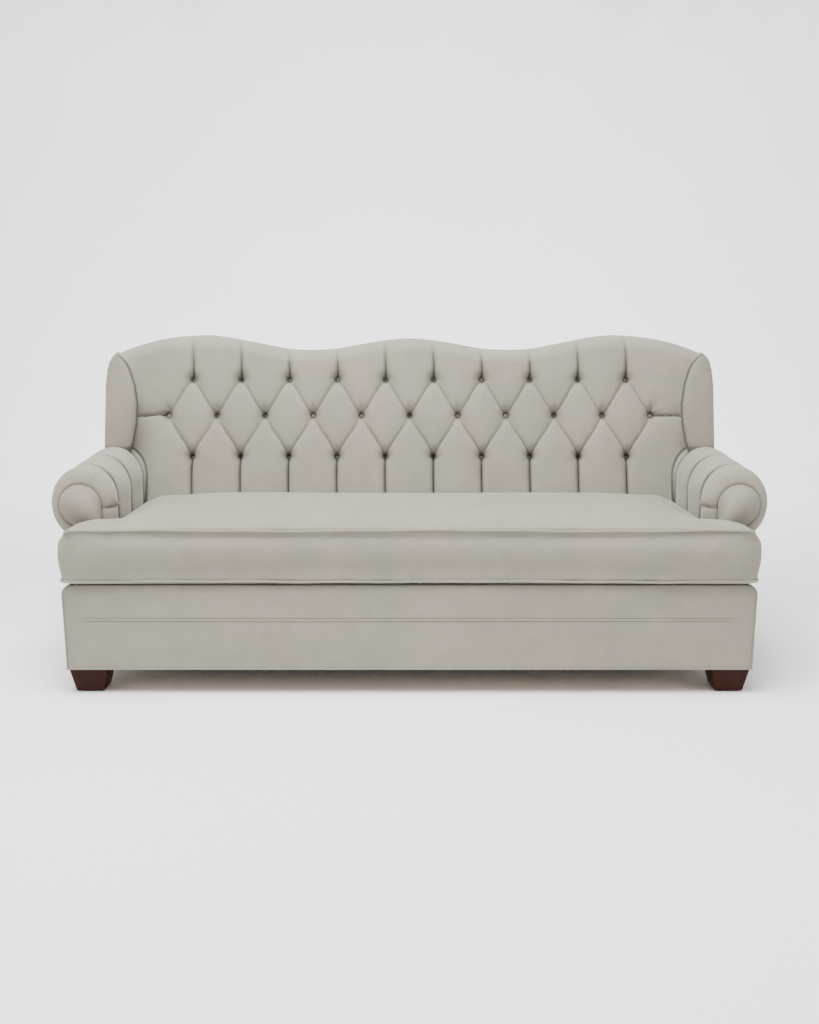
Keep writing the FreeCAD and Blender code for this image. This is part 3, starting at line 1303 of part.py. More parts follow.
def build_cushion():
    """Boxed cushion with a soft crown and a self-piped seam above and below its boxing."""
    bulge = size("cushion_bulge")
    seat = size("cushion_welt_radius") + size("rest_gap")
    welts = (size("cushion_welt_low"), size("cushion_welt_high"))
    middle = sum(welts) / 2
    half = (welts[1] - welts[0]) / 2
    crown = size("cushion_crown")
    sections = [(2 * bulge, size("cushion_low"))]
    for z in welts:
        sections += [(bulge, z - seat), (bulge + seat, z - seat), (bulge + seat, z + seat), (bulge, z + seat)]
    sections[5:5] = [(0, middle - half * 0.3), (0, middle + half * 0.3)]
    rise = [(0.6, 16), (1, 36)]
    sections += [(inset, welts[1] + crown * share) for share, inset in rise]
    stuffed = Part.makeLoft([cushion_outline(inset, z) for inset, z in sections], True, True)
    cords = [cord for z in welts for cord in piping(bulge, z)]
    return [shaped("seat_cushion", stuffed), shaped("cushion_welts", Part.makeCompound(cords))]


# Build, check and write each node

form = arm_form()
arm_nodes, plank = build_arms(form)
back_nodes, back_form = build_back(both([form]))
mount_nodes, screws = build_mounts()
nodes = build_base(screws) + build_feet() + build_covers() + back_nodes + arm_nodes
nodes += build_wings(back_form, form, plank) + mount_nodes + build_links() + build_sections()
nodes += build_leg("middle", -1, "middle_leg_y", "middle_leg_z")
nodes += build_leg("foot", 1, "foot_leg_y", "foot_leg_z")
nodes += build_cushion()
doc.recompute()
doc.recompute()

for thing in doc.Objects:
    if "Invalid" in thing.State or "Error" in thing.State:
        raise RuntimeError(f"{thing.Name} did not build")

os.makedirs("parts", exist_ok=True)
for node in nodes:
    if node.Shape.isNull() or not node.Shape.isValid():
        raise RuntimeError(f"{node.Label} has no valid shape")
    node.Shape.exportStep(f"parts/{node.Label}.step")
print(len(nodes), "nodes")
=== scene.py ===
import json
import math

import bmesh
import bpy
import numpy as np
from bpy.props import FloatProperty, FloatVectorProperty, IntProperty, PointerProperty
from mathutils import Matrix, Vector


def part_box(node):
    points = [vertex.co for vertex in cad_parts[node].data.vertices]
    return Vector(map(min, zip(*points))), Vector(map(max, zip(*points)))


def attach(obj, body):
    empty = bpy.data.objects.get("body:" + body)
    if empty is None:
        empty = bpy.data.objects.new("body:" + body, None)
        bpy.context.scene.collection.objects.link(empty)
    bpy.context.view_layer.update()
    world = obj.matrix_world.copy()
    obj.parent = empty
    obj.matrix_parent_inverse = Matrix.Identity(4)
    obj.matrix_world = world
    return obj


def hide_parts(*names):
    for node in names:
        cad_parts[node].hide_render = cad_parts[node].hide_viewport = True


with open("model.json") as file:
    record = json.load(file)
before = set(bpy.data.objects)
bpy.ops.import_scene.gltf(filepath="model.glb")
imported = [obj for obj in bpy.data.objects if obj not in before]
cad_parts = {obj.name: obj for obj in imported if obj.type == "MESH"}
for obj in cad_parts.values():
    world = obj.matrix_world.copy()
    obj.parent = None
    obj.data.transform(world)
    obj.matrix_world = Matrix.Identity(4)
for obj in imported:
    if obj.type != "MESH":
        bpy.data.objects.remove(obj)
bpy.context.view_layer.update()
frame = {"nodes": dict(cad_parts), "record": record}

bl_info = {
    "name": "Sofa Bed Dresser",
    "version": (1, 0, 0),
    "blender": (4, 5, 0),
    "location": "View3D > Sidebar > Sofa Bed",
    "description": "Upholsters the frame of a tufted sofa bed and lights it",
    "category": "Object",
}

BACK_LOW, BACK_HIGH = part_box("inside_back")
ARM_LOW, ARM_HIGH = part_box("right_arm_pad")
PANEL_LOW, PANEL_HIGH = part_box("right_arm_panel")
WING_LOW, WING_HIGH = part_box("right_wing_pad")
CUSHION_LOW, CUSHION_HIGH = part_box("seat_cushion")
UPPER_LOW, UPPER_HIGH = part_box("upper_band")
LOWER_LOW, LOWER_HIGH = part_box("lower_band")
SIDE_LOW, SIDE_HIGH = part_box("right_side_cover")
REAR_LOW, REAR_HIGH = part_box("base_back_cover")
OUTSIDE_LOW, OUTSIDE_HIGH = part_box("outside_back")

MERGE = 0.00005         # points nearer than this become one
SOLID_MERGE = 0.00002   # the same for a copy of a solid from the frame
PLUMP = 0.03            # how far a pad takes to swell beside a fold
STUFFING, FRAMES = 4.0, 14      # pressure under the cushion's cloth, and how long it acts


def plain(name, about, default, **more):
    """Property for a number; more may give its unit."""
    return FloatProperty(name=name, description=about, default=default, **more)


def length(name, about, default):
    """Property for a size in metres."""
    return plain(name, about, default, unit="LENGTH", precision=4)


def cells(name, about, default, least):
    """Property for a number of mesh columns or rows."""
    return IntProperty(name=name, description=about, default=default, min=least)


def colour(name, about, default):
    """Property for a colour."""
    return FloatVectorProperty(name=name, description=about, default=default, subtype="COLOR",
                               size=3, min=0, max=1)


class BackSizes(bpy.types.PropertyGroup):
    """Sizes of the tufted back."""

    rake: plain("Rake", "Lean of the inside back", math.radians(13), subtype="ANGLE")
    half: length("Half width", "Middle to the end of the back", BACK_HIGH.x)
    gap_half: length("Seat half width", "Half width between the arms", 0.899)
    shoulder: length("Shoulder", "Height up the lean where the back widens over the arms", 0.228)
    end_rise: length("End", "Height up the lean of the top at its ends", 0.5568)
    hump_rise: length("Outer hump", "Height up the lean of the outer humps", 0.6215)
    dip_rise: length("Dip", "Height up the lean of the dips", 0.5691)
    middle_rise: length("Middle hump", "Height up the lean of the middle hump", 0.6102)
    hump_x: length("Outer hump place", "Middle to outer hump", 0.725)
    dip_x: length("Dip place", "Middle to dip", 0.343)
    top_round: length("Top rounding", "Rounding of the front of the top", 0.058)
    top_depth: length("Top depth", "Front to rear over the top", 0.17)
    pad_depth: length("Pad depth", "Front of the pad to the frame", 0.13)
    button_pitch: length("Button pitch", "Between buttons in a row", 0.168)
    row_low: length("Lower row", "Height up the lean of the lower buttons", 0.1878)
    row_middle: length("Middle row", "Height up the lean of the middle buttons", 0.3315)
    row_top: length("Upper row", "Height up the lean of the upper buttons", 0.4577)
    puff: length("Puff", "How far the pads swell beside a pleat", 0.0135)
    tuft: length("Tuft", "Extra depth at a button", 0.017)
    button_radius: length("Button radius", "Covered buttons", 0.0098)
    columns: cells("Columns", "Mesh columns across the back", 600, 50)
    rows: cells("Rows", "Mesh rows up and over the back", 158, 30)


class ArmSizes(bpy.types.PropertyGroup):
    """Sizes of the arms and their round fronts."""

    roll_x: length("Roll place", "Middle of the sofa to the middle of the roll", 1.0005)
    roll_z: length("Roll height", "Floor to the middle of the roll at its front", 0.556)
    roll_wide: length("Roll half width", "Half width of the roll", 0.099)
    roll_high: length("Roll half height", "Middle to the top of the roll", 0.113)
    rise: length("Rise", "Climb of the roll from its front to the wing", 0.026)
    rise_run: length("Rise run", "Front of the arm to where the roll is level", 0.412)
    outer: length("Outer face", "Middle of the sofa to the arm's outer face", 1.03)
    head_x: length("Round front place", "Middle of the sofa to the round front", 1.003)
    head_radius: length("Round front radius", "Radius of the round front", 0.06)
    stem: length("Stem", "Middle of the sofa to the outer side of the round front's stem", 1.022)
    edge: length("Edge", "Depth of the padded front edge", 0.036)
    channel_first: length("First channel", "Front of the arm to its first channel", 0.1)
    channel_step: length("Channel step", "Between channels", 0.165)
    channel_depth: length("Channel depth", "Depth of a channel", 0.019)
    back_gap: length("Back gap", "Front of the arm to the inside back", BACK_LOW.y - ARM_LOW.y)
    button_z: length("Button height", "Floor to the button on the arm", 0.545)
    welt: length("Welt", "Radius of the piping", 0.0038)
    columns: cells("Columns", "Mesh columns round the arm", 170, 30)
    rows: cells("Rows", "Mesh rows along the arm", 340, 30)


class WingSizes(bpy.types.PropertyGroup):
    """Sizes of the wings."""

    inner: length("Inner edge", "Middle of the sofa to the innermost point", WING_LOW.x + 0.0014)
    outer: length("Outer edge", "Middle of the sofa to the outer face", WING_HIGH.x)
    waist_z: length("Waist", "Height of the innermost point", 0.834)
    tip_x: length("Tip place", "Middle of the sofa to the tip", 0.98)
    tip_z: length("Tip height", "Height of the tip", WING_HIGH.z)
    softness: length("Softness", "Depth of the rounded front", 0.034)
    recede: plain("Recede", "How fast the inner side draws away behind the front", 0.26)


class CushionSizes(bpy.types.PropertyGroup):
    """Sizes of the bench cushion."""

    voxel: length("Voxel", "Size of the remeshed cells", 0.0085)
    welt_low: length("Lower welt", "Height of the lower piping", 0.361)
    welt_high: length("Upper welt", "Height of the upper piping", 0.5026)
    welt: length("Welt", "Radius of the piping", 0.0039)
    boxing: length("Boxing", "How far the boxing swells beyond the piping", 0.008)
    side: length("Side", "Half width between the arms", 0.898)
    ear: length("Ears", "Half width at the ears", CUSHION_HIGH.x)
    ear_rear: length("Ear rear", "Where the ears end, front to back", -0.319)
    ear_round: length("Ear rounding", "Radius of the outer corners", 0.034)
    corner_round: length("Corner rounding", "Radius of the inner and rear corners", 0.016)
    draw_in: length("Draw-in", "How far the front draws in between its corners", 0.009)
    swell: length("Swell", "How far the stuffing may push the cloth", 0.01)
    sag: length("Sag", "How far the front lip sags", 0.0105)


class BaseSizes(bpy.types.PropertyGroup):
    """Sizes of the upholstered base and its feet."""

    corner: length("Corner", "Rounding of the base's upper corners", 0.029)
    seam: length("Seam", "Height of the seam across the front", UPPER_LOW.z)
    seam_half: length("Seam half width", "Half width of the piped seam", 0.978)
    bulge: length("Bulge", "How far the bands swell", 0.004)
    welt: length("Welt", "Radius of the piping", 0.0034)
    foot_bevel: length("Foot bevel", "Softened edges of the feet", 0.004)


class BedSizes(bpy.types.PropertyGroup):
    """Sizes of the folded mattress."""

    voxel: length("Voxel", "Size of the remeshed cells", 0.011)
    quilt: length("Quilt", "Width of a quilted diamond", 0.15)
    quilt_depth: length("Quilt depth", "Depth of the quilting", 0.0035)
    cord: length("Cord", "Radius of the edge cord", 0.0032)


class Finishes(bpy.types.PropertyGroup):
    """Colours of the finishes."""

    cloth: colour("Cloth", "Main upholstery", (0.236, 0.2175, 0.174))
    # The buttons are covered in the cloth; their darker colour is painted shade for their recess.
    button: colour("Buttons", "Covered buttons", (0.16, 0.147, 0.119))
    lining: colour("Lining", "Seat deck and rear lining", (0.3, 0.285, 0.25))
    mahogany: colour("Feet", "Stained feet", (0.017, 0.0042, 0.002))
    pine: colour("Frame wood", "Raw boards", (0.5, 0.35, 0.2))
    steel: colour("Bed steel", "Painted tubes and rails", (0.07, 0.07, 0.075))
    zinc: colour("Zinc", "Plated pins and screws", (0.55, 0.55, 0.53))
    black: colour("Black", "Glides and leg tips", (0.02, 0.02, 0.02))
    strap: colour("Deck cloth", "Woven decks", (0.035, 0.036, 0.04))
    ticking: colour("Ticking", "Mattress cover", (0.72, 0.7, 0.66))


class StageSettings(bpy.types.PropertyGroup):
    """Camera, floor and lights."""

    distance: length("Camera distance", "Camera to the front of the base", 3.303)
    height: length("Camera height", "Floor to camera", 1.0934)
    pitch: plain("Pitch", "How far the camera looks down", 0.161, subtype="ANGLE")
    lens: plain("Lens", "Focal length for a 36 mm long side", 40.11)
    bowl: length("Floor", "Radius of the flat floor", 5.5)
    bend: length("Bend", "Radius of the backdrop's bend", 6)
    sky: plain("Sky", "Strength of the even light", 0.92)
    key: plain("Key light", "Power of the main light", 480, unit="POWER")
    fill: plain("Fill light", "Power of the side lights", 16, unit="POWER")
    wash: plain("Backdrop light", "Power of the backdrop's light", 950, unit="POWER")


# Shared helpers: meshes

def settings(group):
    """One property group of the scene."""
    return getattr(bpy.context.scene, group)


def points_of(mesh):
    """Vertex places of a mesh as an array."""
    flat = np.empty(len(mesh.vertices) * 3)
    mesh.vertices.foreach_get("co", flat)
    return flat.reshape(-1, 3)


def put_points(mesh, points):
    """Write vertex places back."""
    mesh.vertices.foreach_set("co", np.asarray(points, dtype=np.float32).ravel())
    mesh.update()


def mesh_of(name, shape):
    """New mesh from a finished bmesh."""
    mesh = bpy.data.meshes.new(name)
    shape.to_mesh(mesh)
    shape.free()
    return mesh


def reshaped(mesh, change):
    """The same mesh after change has worked on it as a bmesh."""
    shape = bmesh.new()
    shape.from_mesh(mesh)
    change(shape)
    shape.to_mesh(mesh)
    shape.free()
    return mesh


def paint_crease_shade(mesh, shade):
    """Store painted shade for each point (darkening in creases, hollows and gaps), for the cloth's
    colour.
    """
    mark = mesh.attributes.new("crease", "FLOAT", "POINT")
    mark.data.foreach_set("value", np.asarray(shade, dtype=np.float32))


def shaped_grid(name, columns, rows, place):
    """Grid mesh; place gets arrays across and along, 0 to 1, and returns x, y, z and painted shade.
    """
    shape = bmesh.new()
    bmesh.ops.create_grid(shape, x_segments=columns, y_segments=rows, size=0.5)
    mesh = mesh_of(name, shape)
    flat = points_of(mesh)
    x, y, z, crease = place(flat[:, 0] + 0.5, flat[:, 1] + 0.5)
    put_points(mesh, np.stack([x, y, z], axis=1))
    paint_crease_shade(mesh, crease * np.ones(len(flat)))
    return mesh


def fill_open(shape):
    """Fill the openings of a bmesh."""
    bmesh.ops.holes_fill(shape, edges=[edge for edge in shape.edges if edge.is_boundary], sides=0)


def drawn_rim(shape):
    """Extrude the open edges of a bmesh and return the new points."""
    rim = [edge for edge in shape.edges if edge.is_boundary]
    drawn = bmesh.ops.extrude_edge_only(shape, edges=rim)["geom"]
    return [item for item in drawn if isinstance(item, bmesh.types.BMVert)]


def close_behind(mesh, push):
    """Turn an open sheet into a closed pad: its rim is drawn to where push says, and filled."""
    def change(shape):
        for vert in drawn_rim(shape):
            vert.co = push(vert.co)
        fill_open(shape)

    return reshaped(mesh, change)


def sealed(mesh, fill=False):
    """Merge the points that meet, with fill close what stays open, and turn the faces outwards."""
    def change(shape):
        bmesh.ops.remove_doubles(shape, verts=shape.verts, dist=MERGE)
        if fill:
            fill_open(shape)
        bmesh.ops.recalc_face_normals(shape, faces=shape.faces)

    return reshaped(mesh, change)


def mirror_over(mesh):
    """Twin of a mesh on the other side of the sofa."""
    def change(shape):
        for vert in shape.verts:
            vert.co.x = -vert.co.x
        bmesh.ops.reverse_faces(shape, faces=shape.faces)

    return reshaped(mesh.copy(), change)


def placed(name, data):
    """New object in the scene."""
    holder = bpy.data.objects.new(name, data)
    bpy.context.scene.collection.objects.link(holder)
    return holder


def show(name, mesh, material, body, nodes=()):
    """Object for a finished mesh, riding on its body and standing for its nodes."""
    piece = placed(name, mesh)
    mesh.materials.clear()
    mesh.materials.append(material)
    mesh.shade_smooth()
    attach(piece, body)
    if nodes:
        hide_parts(*nodes)
    return piece


def covering(name, mesh, nodes=()):
    """Piece in the main cloth that stays on the sofa."""
    return show(name, mesh, upholstery(), "sofa", nodes)


def cord_mesh(name, path, radius, cyclic=False):
    """Round cord along a list of points."""
    line = bpy.data.curves.new(name, "CURVE")
    line.dimensions = "3D"
    line.bevel_depth = radius
    line.bevel_resolution = 3
    line.use_fill_caps = True
    spline = line.splines.new("POLY")
    spline.points.add(len(path) - 1)
    for point, place in zip(spline.points, path):
        point.co = (*place, 1)
    spline.use_cyclic_u = cyclic
    holder = bpy.data.objects.new(name + "_line", line)
    mesh = bpy.data.meshes.new_from_object(holder)
    bpy.data.objects.remove(holder)
    bpy.data.curves.remove(line)
    mesh.name = name
    return mesh


def joined(name, meshes):
    """One mesh from several."""
    shape = bmesh.new()
    for mesh in meshes:
        shape.from_mesh(mesh)
        bpy.data.meshes.remove(mesh)
    return mesh_of(name, shape)


def evaluated(holder):
    """Mesh of an object as its modifiers leave it."""
    graph = bpy.context.evaluated_depsgraph_get()
    return bpy.data.meshes.new_from_object(holder.evaluated_get(graph))


def soft_copy(name, node, voxel, smoothing):
    """Remeshed and smoothed copy of a node's solid."""
    shape = bmesh.new()
    shape.from_mesh(frame["nodes"][node].data)
    bmesh.ops.remove_doubles(shape, verts=shape.verts, dist=SOLID_MERGE)
    mesh = mesh_of(name, shape)
    holder = placed(name + "_blank", mesh)
    remesh = holder.modifiers.new("remesh", "REMESH")
    remesh.mode = "VOXEL"
    remesh.voxel_size = voxel
    relax = holder.modifiers.new("relax", "SMOOTH")
    relax.factor = 0.5
    relax.iterations = smoothing
    soft = evaluated(holder)
    bpy.data.objects.remove(holder)
    bpy.data.meshes.remove(mesh)
    soft.name = name
    return soft


def stuffed(mesh, limit, allowed):
    """Cloth under pressure for a few frames; allowed scales how far each point may follow it."""
    rest = points_of(mesh)
    holder = placed(mesh.name + "_cloth", mesh)
    cloth = holder.modifiers.new("cloth", "CLOTH")
    cloth.settings.use_pressure = True
    cloth.settings.uniform_pressure_force = STUFFING
    cloth.settings.effector_weights.gravity = 0
    cloth.settings.quality = 4
    cloth.settings.tension_stiffness = 12
    cloth.settings.bending_stiffness = 0.4
    scene = bpy.context.scene
    for number in range(FRAMES):
        scene.frame_set(number + 1)
    blown = evaluated(holder)
    moved = points_of(blown) - rest
    bpy.data.meshes.remove(blown)
    holder.modifiers.remove(cloth)
    bpy.data.objects.remove(holder)
    scene.frame_set(1)
    reach = np.linalg.norm(moved, axis=1, keepdims=True)
    moved *= np.minimum(1, limit / np.maximum(reach, 1e-9))
    put_points(mesh, rest + moved * allowed[:, None])


# Shared helpers: curves over arrays of points

def ripple(first, second, seed, scale):
    """Gentle uneven waves from about -1 to 1, the same at each run."""
    total = 0
    for number, weight in enumerate((0.4, 0.3, 0.2, 0.1)):
        turn = 2.4 * number + seed
        way = first * math.cos(turn) + second * math.sin(turn)
        finer = scale * (1 + 0.73 * number)
        total = total + weight * np.sin(way * finer + 1.7 * seed + 0.9 * number)
    return total


def share_of(low, high, value):
    """0 below low, 1 above high, straight between."""
    return np.clip((value - low) / (high - low), 0, 1)


def smooth_step(low, high, value):
    """0 below low, 1 above high, with a soft rise between."""
    share = share_of(low, high, value)
    return share * share * (3 - 2 * share)


def bell(off, width, power=2):
    """1 in the middle, near 0 beyond a width; a higher power falls later and faster."""
    return np.exp(-((off / width) ** power))


def between(ends, share):
    """Value at a share of the way from the first end to the second."""
    return ends[0] + (ends[1] - ends[0]) * share


def beside(start, end, bow, x, y):
    """Share along a gently curved fold, and the signed distance from it."""
    way_x, way_y = end[0] - start[0], end[1] - start[1]
    span = math.hypot(way_x, way_y)
    share = np.clip(((x - start[0]) * way_x + (y - start[1]) * way_y) / span ** 2, 0, 1)
    off_x, off_y = x - start[0] - share * way_x, y - start[1] - share * way_y
    across = (off_x * way_y - off_y * way_x) / span
    reach = np.hypot(off_x, off_y)
    side = np.where(across < 0, -reach, reach)
    return share, side - bow * np.sin(2 * math.pi * share)


# Shared helpers: materials

class Wiring:
    """Adds nodes to a tree and links them."""

    def __init__(self, tree):
        self.tree = tree

    def add(self, kind, **values):
        node = self.tree.nodes.new(kind)
        for name, value in values.items():
            setattr(node, name, value)
        return node

    def feed(self, node, **inputs):
        """Set or link inputs, which are named, or given as n and their number."""
        for name, value in inputs.items():
            socket = node.inputs[int(name[1:]) if name[1:].isdigit() else name]
            if hasattr(value, "is_output"):
                self.tree.links.new(value, socket)
            else:
                socket.default_value = value
        return node

    def math(self, operation, first, second, clamp=False):
        node = self.add("ShaderNodeMath", operation=operation, use_clamp=clamp)
        return self.feed(node, n0=first, n1=second).outputs[0]

    def times(self, first, second):
        return self.math("MULTIPLY", first, second)

    def plus(self, first, second):
        return self.math("ADD", first, second)

    def less(self, first, second):
        return self.math("SUBTRACT", first, second)

    def noise(self, vector, scale, detail=2.0, roughness=0.5):
        node = self.feed(self.add("ShaderNodeTexNoise"), Vector=vector, Scale=scale,
                         Detail=detail, Roughness=roughness)
        return node.outputs["Fac"]

    def mix(self, share, first, second, blend="MIX"):
        node = self.add("ShaderNodeMix", data_type="RGBA", blend_type=blend)
        return self.feed(node, n0=share, n6=first, n7=second).outputs[2]

    def stretch(self, vector, scale):
        return self.feed(self.add("ShaderNodeMapping"), Vector=vector, Scale=scale).outputs[0]

    def ranged(self, value, start, end, low=0.3, high=0.7):
        """Map low to high, by default the middle of a noise, onto start to end."""
        node = self.add("ShaderNodeMapRange")
        return self.feed(node, n0=value, n1=low, n2=high, n3=start, n4=end).outputs[0]

    def tint(self, red, green, blue):
        node = self.add("ShaderNodeCombineColor")
        return self.feed(node, Red=red, Green=green, Blue=blue).outputs[0]


def node_group(name, build, **inputs):
    """Shader node group, made once; build returns its Colour, Height and Roughness."""
    if name in bpy.data.node_groups:
        return bpy.data.node_groups[name]
    tree = bpy.data.node_groups.new(name, "ShaderNodeTree")
    sockets = tree.interface
    sockets.new_socket("Vector", in_out="INPUT", socket_type="NodeSocketVector")
    for label, default in inputs.items():
        kind = "NodeSocketColor" if isinstance(default, tuple) else "NodeSocketFloat"
        sockets.new_socket(label, in_out="INPUT", socket_type=kind).default_value = default
    for label, kind in (("Colour", "Color"), ("Height", "Float"), ("Roughness", "Float")):
        sockets.new_socket(label, in_out="OUTPUT", socket_type="NodeSocket" + kind)
    wiring = Wiring(tree)
    made = build(wiring, wiring.add("NodeGroupInput").outputs)
    for value, socket in zip(made, wiring.add("NodeGroupOutput").inputs):
        tree.links.new(value, socket)
    return tree


def cloth_nodes(w, given):
    """Short-pile cloth: nap patches, weave, slubs, and painted shade in the creases."""
    spot = given["Vector"]
    nap = w.noise(spot, 5.5, 3.0, 0.55)
    patches = w.noise(spot, 21.0)
    warp = w.noise(w.stretch(spot, (1500, 260, 260)), 1.0, 1.0)
    weft = w.noise(w.stretch(spot, (260, 1500, 1500)), 1.0, 1.0)
    grain = w.plus(w.times(warp, 0.5), w.times(weft, 0.5))
    tone = w.plus(w.ranged(nap, -0.06, 0.06), w.ranged(patches, -0.03, 0.03))
    uneven = w.times(w.plus(tone, w.ranged(grain, -0.1, 0.1)), given["Variation"])
    # Painted shade: the crease value darkens the colour, Shade says how strongly.
    shade = w.less(1.0, w.times(given["Crease"], given["Shade"]))
    both = w.times(w.plus(1.0, uneven), shade)
    hue = w.noise(spot, 3.1)
    warm = w.times(both, w.ranged(hue, 0.982, 1.022, 0.35, 0.65))
    cool = w.times(both, w.ranged(hue, 1.008, 0.992, 0.35, 0.65))
    # Painted shade is also a little warmer: less blue where it is darker.
    blue = w.times(both, w.less(1.0, w.times(given["Crease"], 0.12)))
    tinted = w.mix(1.0, given["Colour"], w.tint(warm, cool, blue), "MULTIPLY")
    return tinted, grain, w.ranged(nap, 0.86, 0.96)


def cloth_group():
    """Node group for every cloth."""
    return node_group("Cloth", cloth_nodes, Colour=(0.5, 0.5, 0.5, 1), Variation=1.0, Crease=0.0,
                      Shade=0.6)


def wood_nodes(w, given):
    """Wood: long grain, pores and slow bands of colour."""
    bent = w.noise(given["Vector"], 4.0)
    bands = w.noise(w.stretch(given["Vector"], (26, 26, 3)), 1.6, 4.0, 0.6)
    pores = w.noise(w.stretch(given["Vector"], (700, 700, 45)), 1.0)
    mixed = w.plus(w.times(bands, 0.7), w.times(bent, 0.3))
    base = w.mix(w.ranged(mixed, 0.0, 1.0), given["Dark"], given["Light"])
    holes = w.ranged(pores, 0.55, 1.0, 0.3, 0.45)
    tinted = w.mix(1.0, base, w.tint(holes, holes, holes), "MULTIPLY")
    height = w.plus(w.times(holes, 0.7), w.times(mixed, 0.3))
    return tinted, height, w.ranged(mixed, given["Gloss"], w.plus(given["Gloss"], 0.14))


def wear_nodes(w, given):
    """Handling wear and dust for metal and plastic."""
    blotches = w.noise(given["Vector"], 9.0, 4.0, 0.6)
    scratches = w.noise(w.stretch(given["Vector"], (40, 900, 900)), 1.0)
    dust = w.ranged(blotches, 0.0, 1.0, 0.5, 0.75)
    marks = w.ranged(scratches, 0.0, 1.0, 0.62, 0.74)
    worn = w.math("MULTIPLY", w.times(dust, marks), given["Wear"], True)
    tinted = w.mix(worn, given["Colour"], given["Under"])
    height = w.less(w.times(blotches, 0.3), w.times(worn, 0.6))
    gloss = w.ranged(blotches, given["Gloss"], w.plus(given["Gloss"], 0.18))
    return tinted, height, w.plus(gloss, w.times(worn, 0.1))


def finish(name, group, values, bump, depth, **shader):
    """Material whose colour, roughness and bump come from a node group."""
    if name in bpy.data.materials:
        return bpy.data.materials[name]
    made = bpy.data.materials.new(name)
    made.use_nodes = True
    w = Wiring(made.node_tree)
    surface = made.node_tree.nodes["Principled BSDF"]
    place = w.add("ShaderNodeTexCoord")
    look = w.add("ShaderNodeGroup", node_tree=group)
    w.feed(look, Vector=place.outputs["Object"])
    for label, value in values.items():
        look.inputs[label].default_value = value
    # Painted shade: the crease attribute, where a mesh has one, darkens the cloth's colour.
    if "Crease" in look.inputs:
        mark = w.add("ShaderNodeAttribute", attribute_name="crease")
        w.feed(look, Crease=mark.outputs["Fac"])
    relief = w.add("ShaderNodeBump")
    w.feed(relief, Strength=bump, Distance=depth, Height=look.outputs["Height"])
    links = made.node_tree.links
    links.new(look.outputs["Colour"], surface.inputs["Base Color"])
    links.new(look.outputs["Roughness"], surface.inputs["Roughness"])
    links.new(relief.outputs["Normal"], surface.inputs["Normal"])
    for label, value in shader.items():
        surface.inputs[label.replace("_", " ")].default_value = value
    return made


def cloth(name, tint, variation=1.0, shade=0.93):
    """Upholstery in one colour."""
    values = {"Colour": (*tint, 1), "Variation": variation, "Shade": shade}
    return finish(name, cloth_group(), values, 0.35, 0.0006,
                  Sheen_Weight=0.22, Sheen_Roughness=0.45, Specular_IOR_Level=0.25)


def upholstery():
    """The sofa's main cloth."""
    return cloth("warm_grey_cloth", settings("sofa_finishes").cloth)


def metal(name, tint, under, wear, gloss, metallic):
    """Painted or plated steel, or plastic."""
    group = node_group("Wear", wear_nodes, Colour=(0.1, 0.1, 0.1, 1), Under=(0.4, 0.4, 0.4, 1),
                       Wear=0.5, Gloss=0.4)
    values = {"Colour": (*tint, 1), "Under": (*under, 1), "Wear": wear, "Gloss": gloss}
    return finish(name, group, values, 0.2, 0.0004, Metallic=metallic)


def wood(name, tint, lift, gloss, shine=0.5):
    """Wood in one colour, lifted in the light bands."""
    group = node_group("Wood", wood_nodes, Dark=(0.05, 0.02, 0.01, 1), Light=(0.1, 0.04, 0.02, 1),
                       Gloss=0.3)
    light = tuple(min(1.0, part * lift) for part in tint)
    values = {"Dark": (*tint, 1), "Light": (*light, 1), "Gloss": gloss}
    return finish(name, group, values, 0.25, 0.0005, Specular_IOR_Level=shine)


# Tufted back

# Kinds of pleat: depths and widths at the two ends, bow, and painted shade at the two ends
TO_LEFT = ((0.005, 0.003), (0.0037, 0.0032), 0.002, (0.62, 0.4))
TO_RIGHT = ((0.005, 0.003), (0.0037, 0.0032), -0.002, (0.42, 0.28))
TO_CREST = ((0.019, 0.0006), (0.0082, 0.0018), 0.0012, (1.0, 0.04))
TO_SEAT = ((0.018, 0.012), (0.0072, 0.0044), 0.0006, (1.0, 1.0))
TO_WING = ((0.009, 0.004), (0.0048, 0.003), 0.001, (0.85, 0.5))
ABOVE_BUTTON = ((0.009, 0.0), (0.0062, 0.002), 0.0, (0.95, 0.0))
BELOW_BUTTON = ((0.007, 0.0), (0.0055, 0.002), 0.0, (0.8, 0.0))
HOLLOW, RIM, SHADE_ROUND = 0.019, 0.0138, 0.027     # radii round a button: its hollow, its rim of dark painted shade, and the painted shade round it
FACE_END, ROUND_END, TOP_END = 0.75, 0.89, 0.97     # shares of the rows up to the end of each part


def camel_top(x, sizes):
    """Height of the back's top up its lean: humps and dips joined by arcs."""
    side = np.abs(x)
    waves = (
        (0, sizes.dip_x, sizes.middle_rise, sizes.dip_rise),
        (sizes.dip_x, sizes.hump_x, sizes.dip_rise, sizes.hump_rise),
    )
    top = np.zeros_like(side)
    for start, end, low, high in waves:
        wave = 0.5 - 0.5 * np.cos(math.pi * share_of(start, end, side))
        top = np.where((side >= start) & (side <= end), between((low, high), wave), top)
    span = sizes.half - sizes.hump_x
    fall = sizes.hump_rise - sizes.end_rise
    radius = (span ** 2 + fall ** 2) / (2 * fall)
    off = np.clip(side - sizes.hump_x, 0, span)
    outer = sizes.hump_rise - radius + np.sqrt(radius ** 2 - off ** 2)
    return np.where(side > sizes.hump_x, outer, top)


def button_places(sizes):
    """Rows of buttons from the top: ten, eleven and ten."""
    rows = []
    for level, count in ((sizes.row_top, 10), (sizes.row_middle, 11), (sizes.row_low, 10)):
        first = -(count - 1) / 2
        rows.append([((first + number) * sizes.button_pitch, level) for number in range(count)])
    return rows


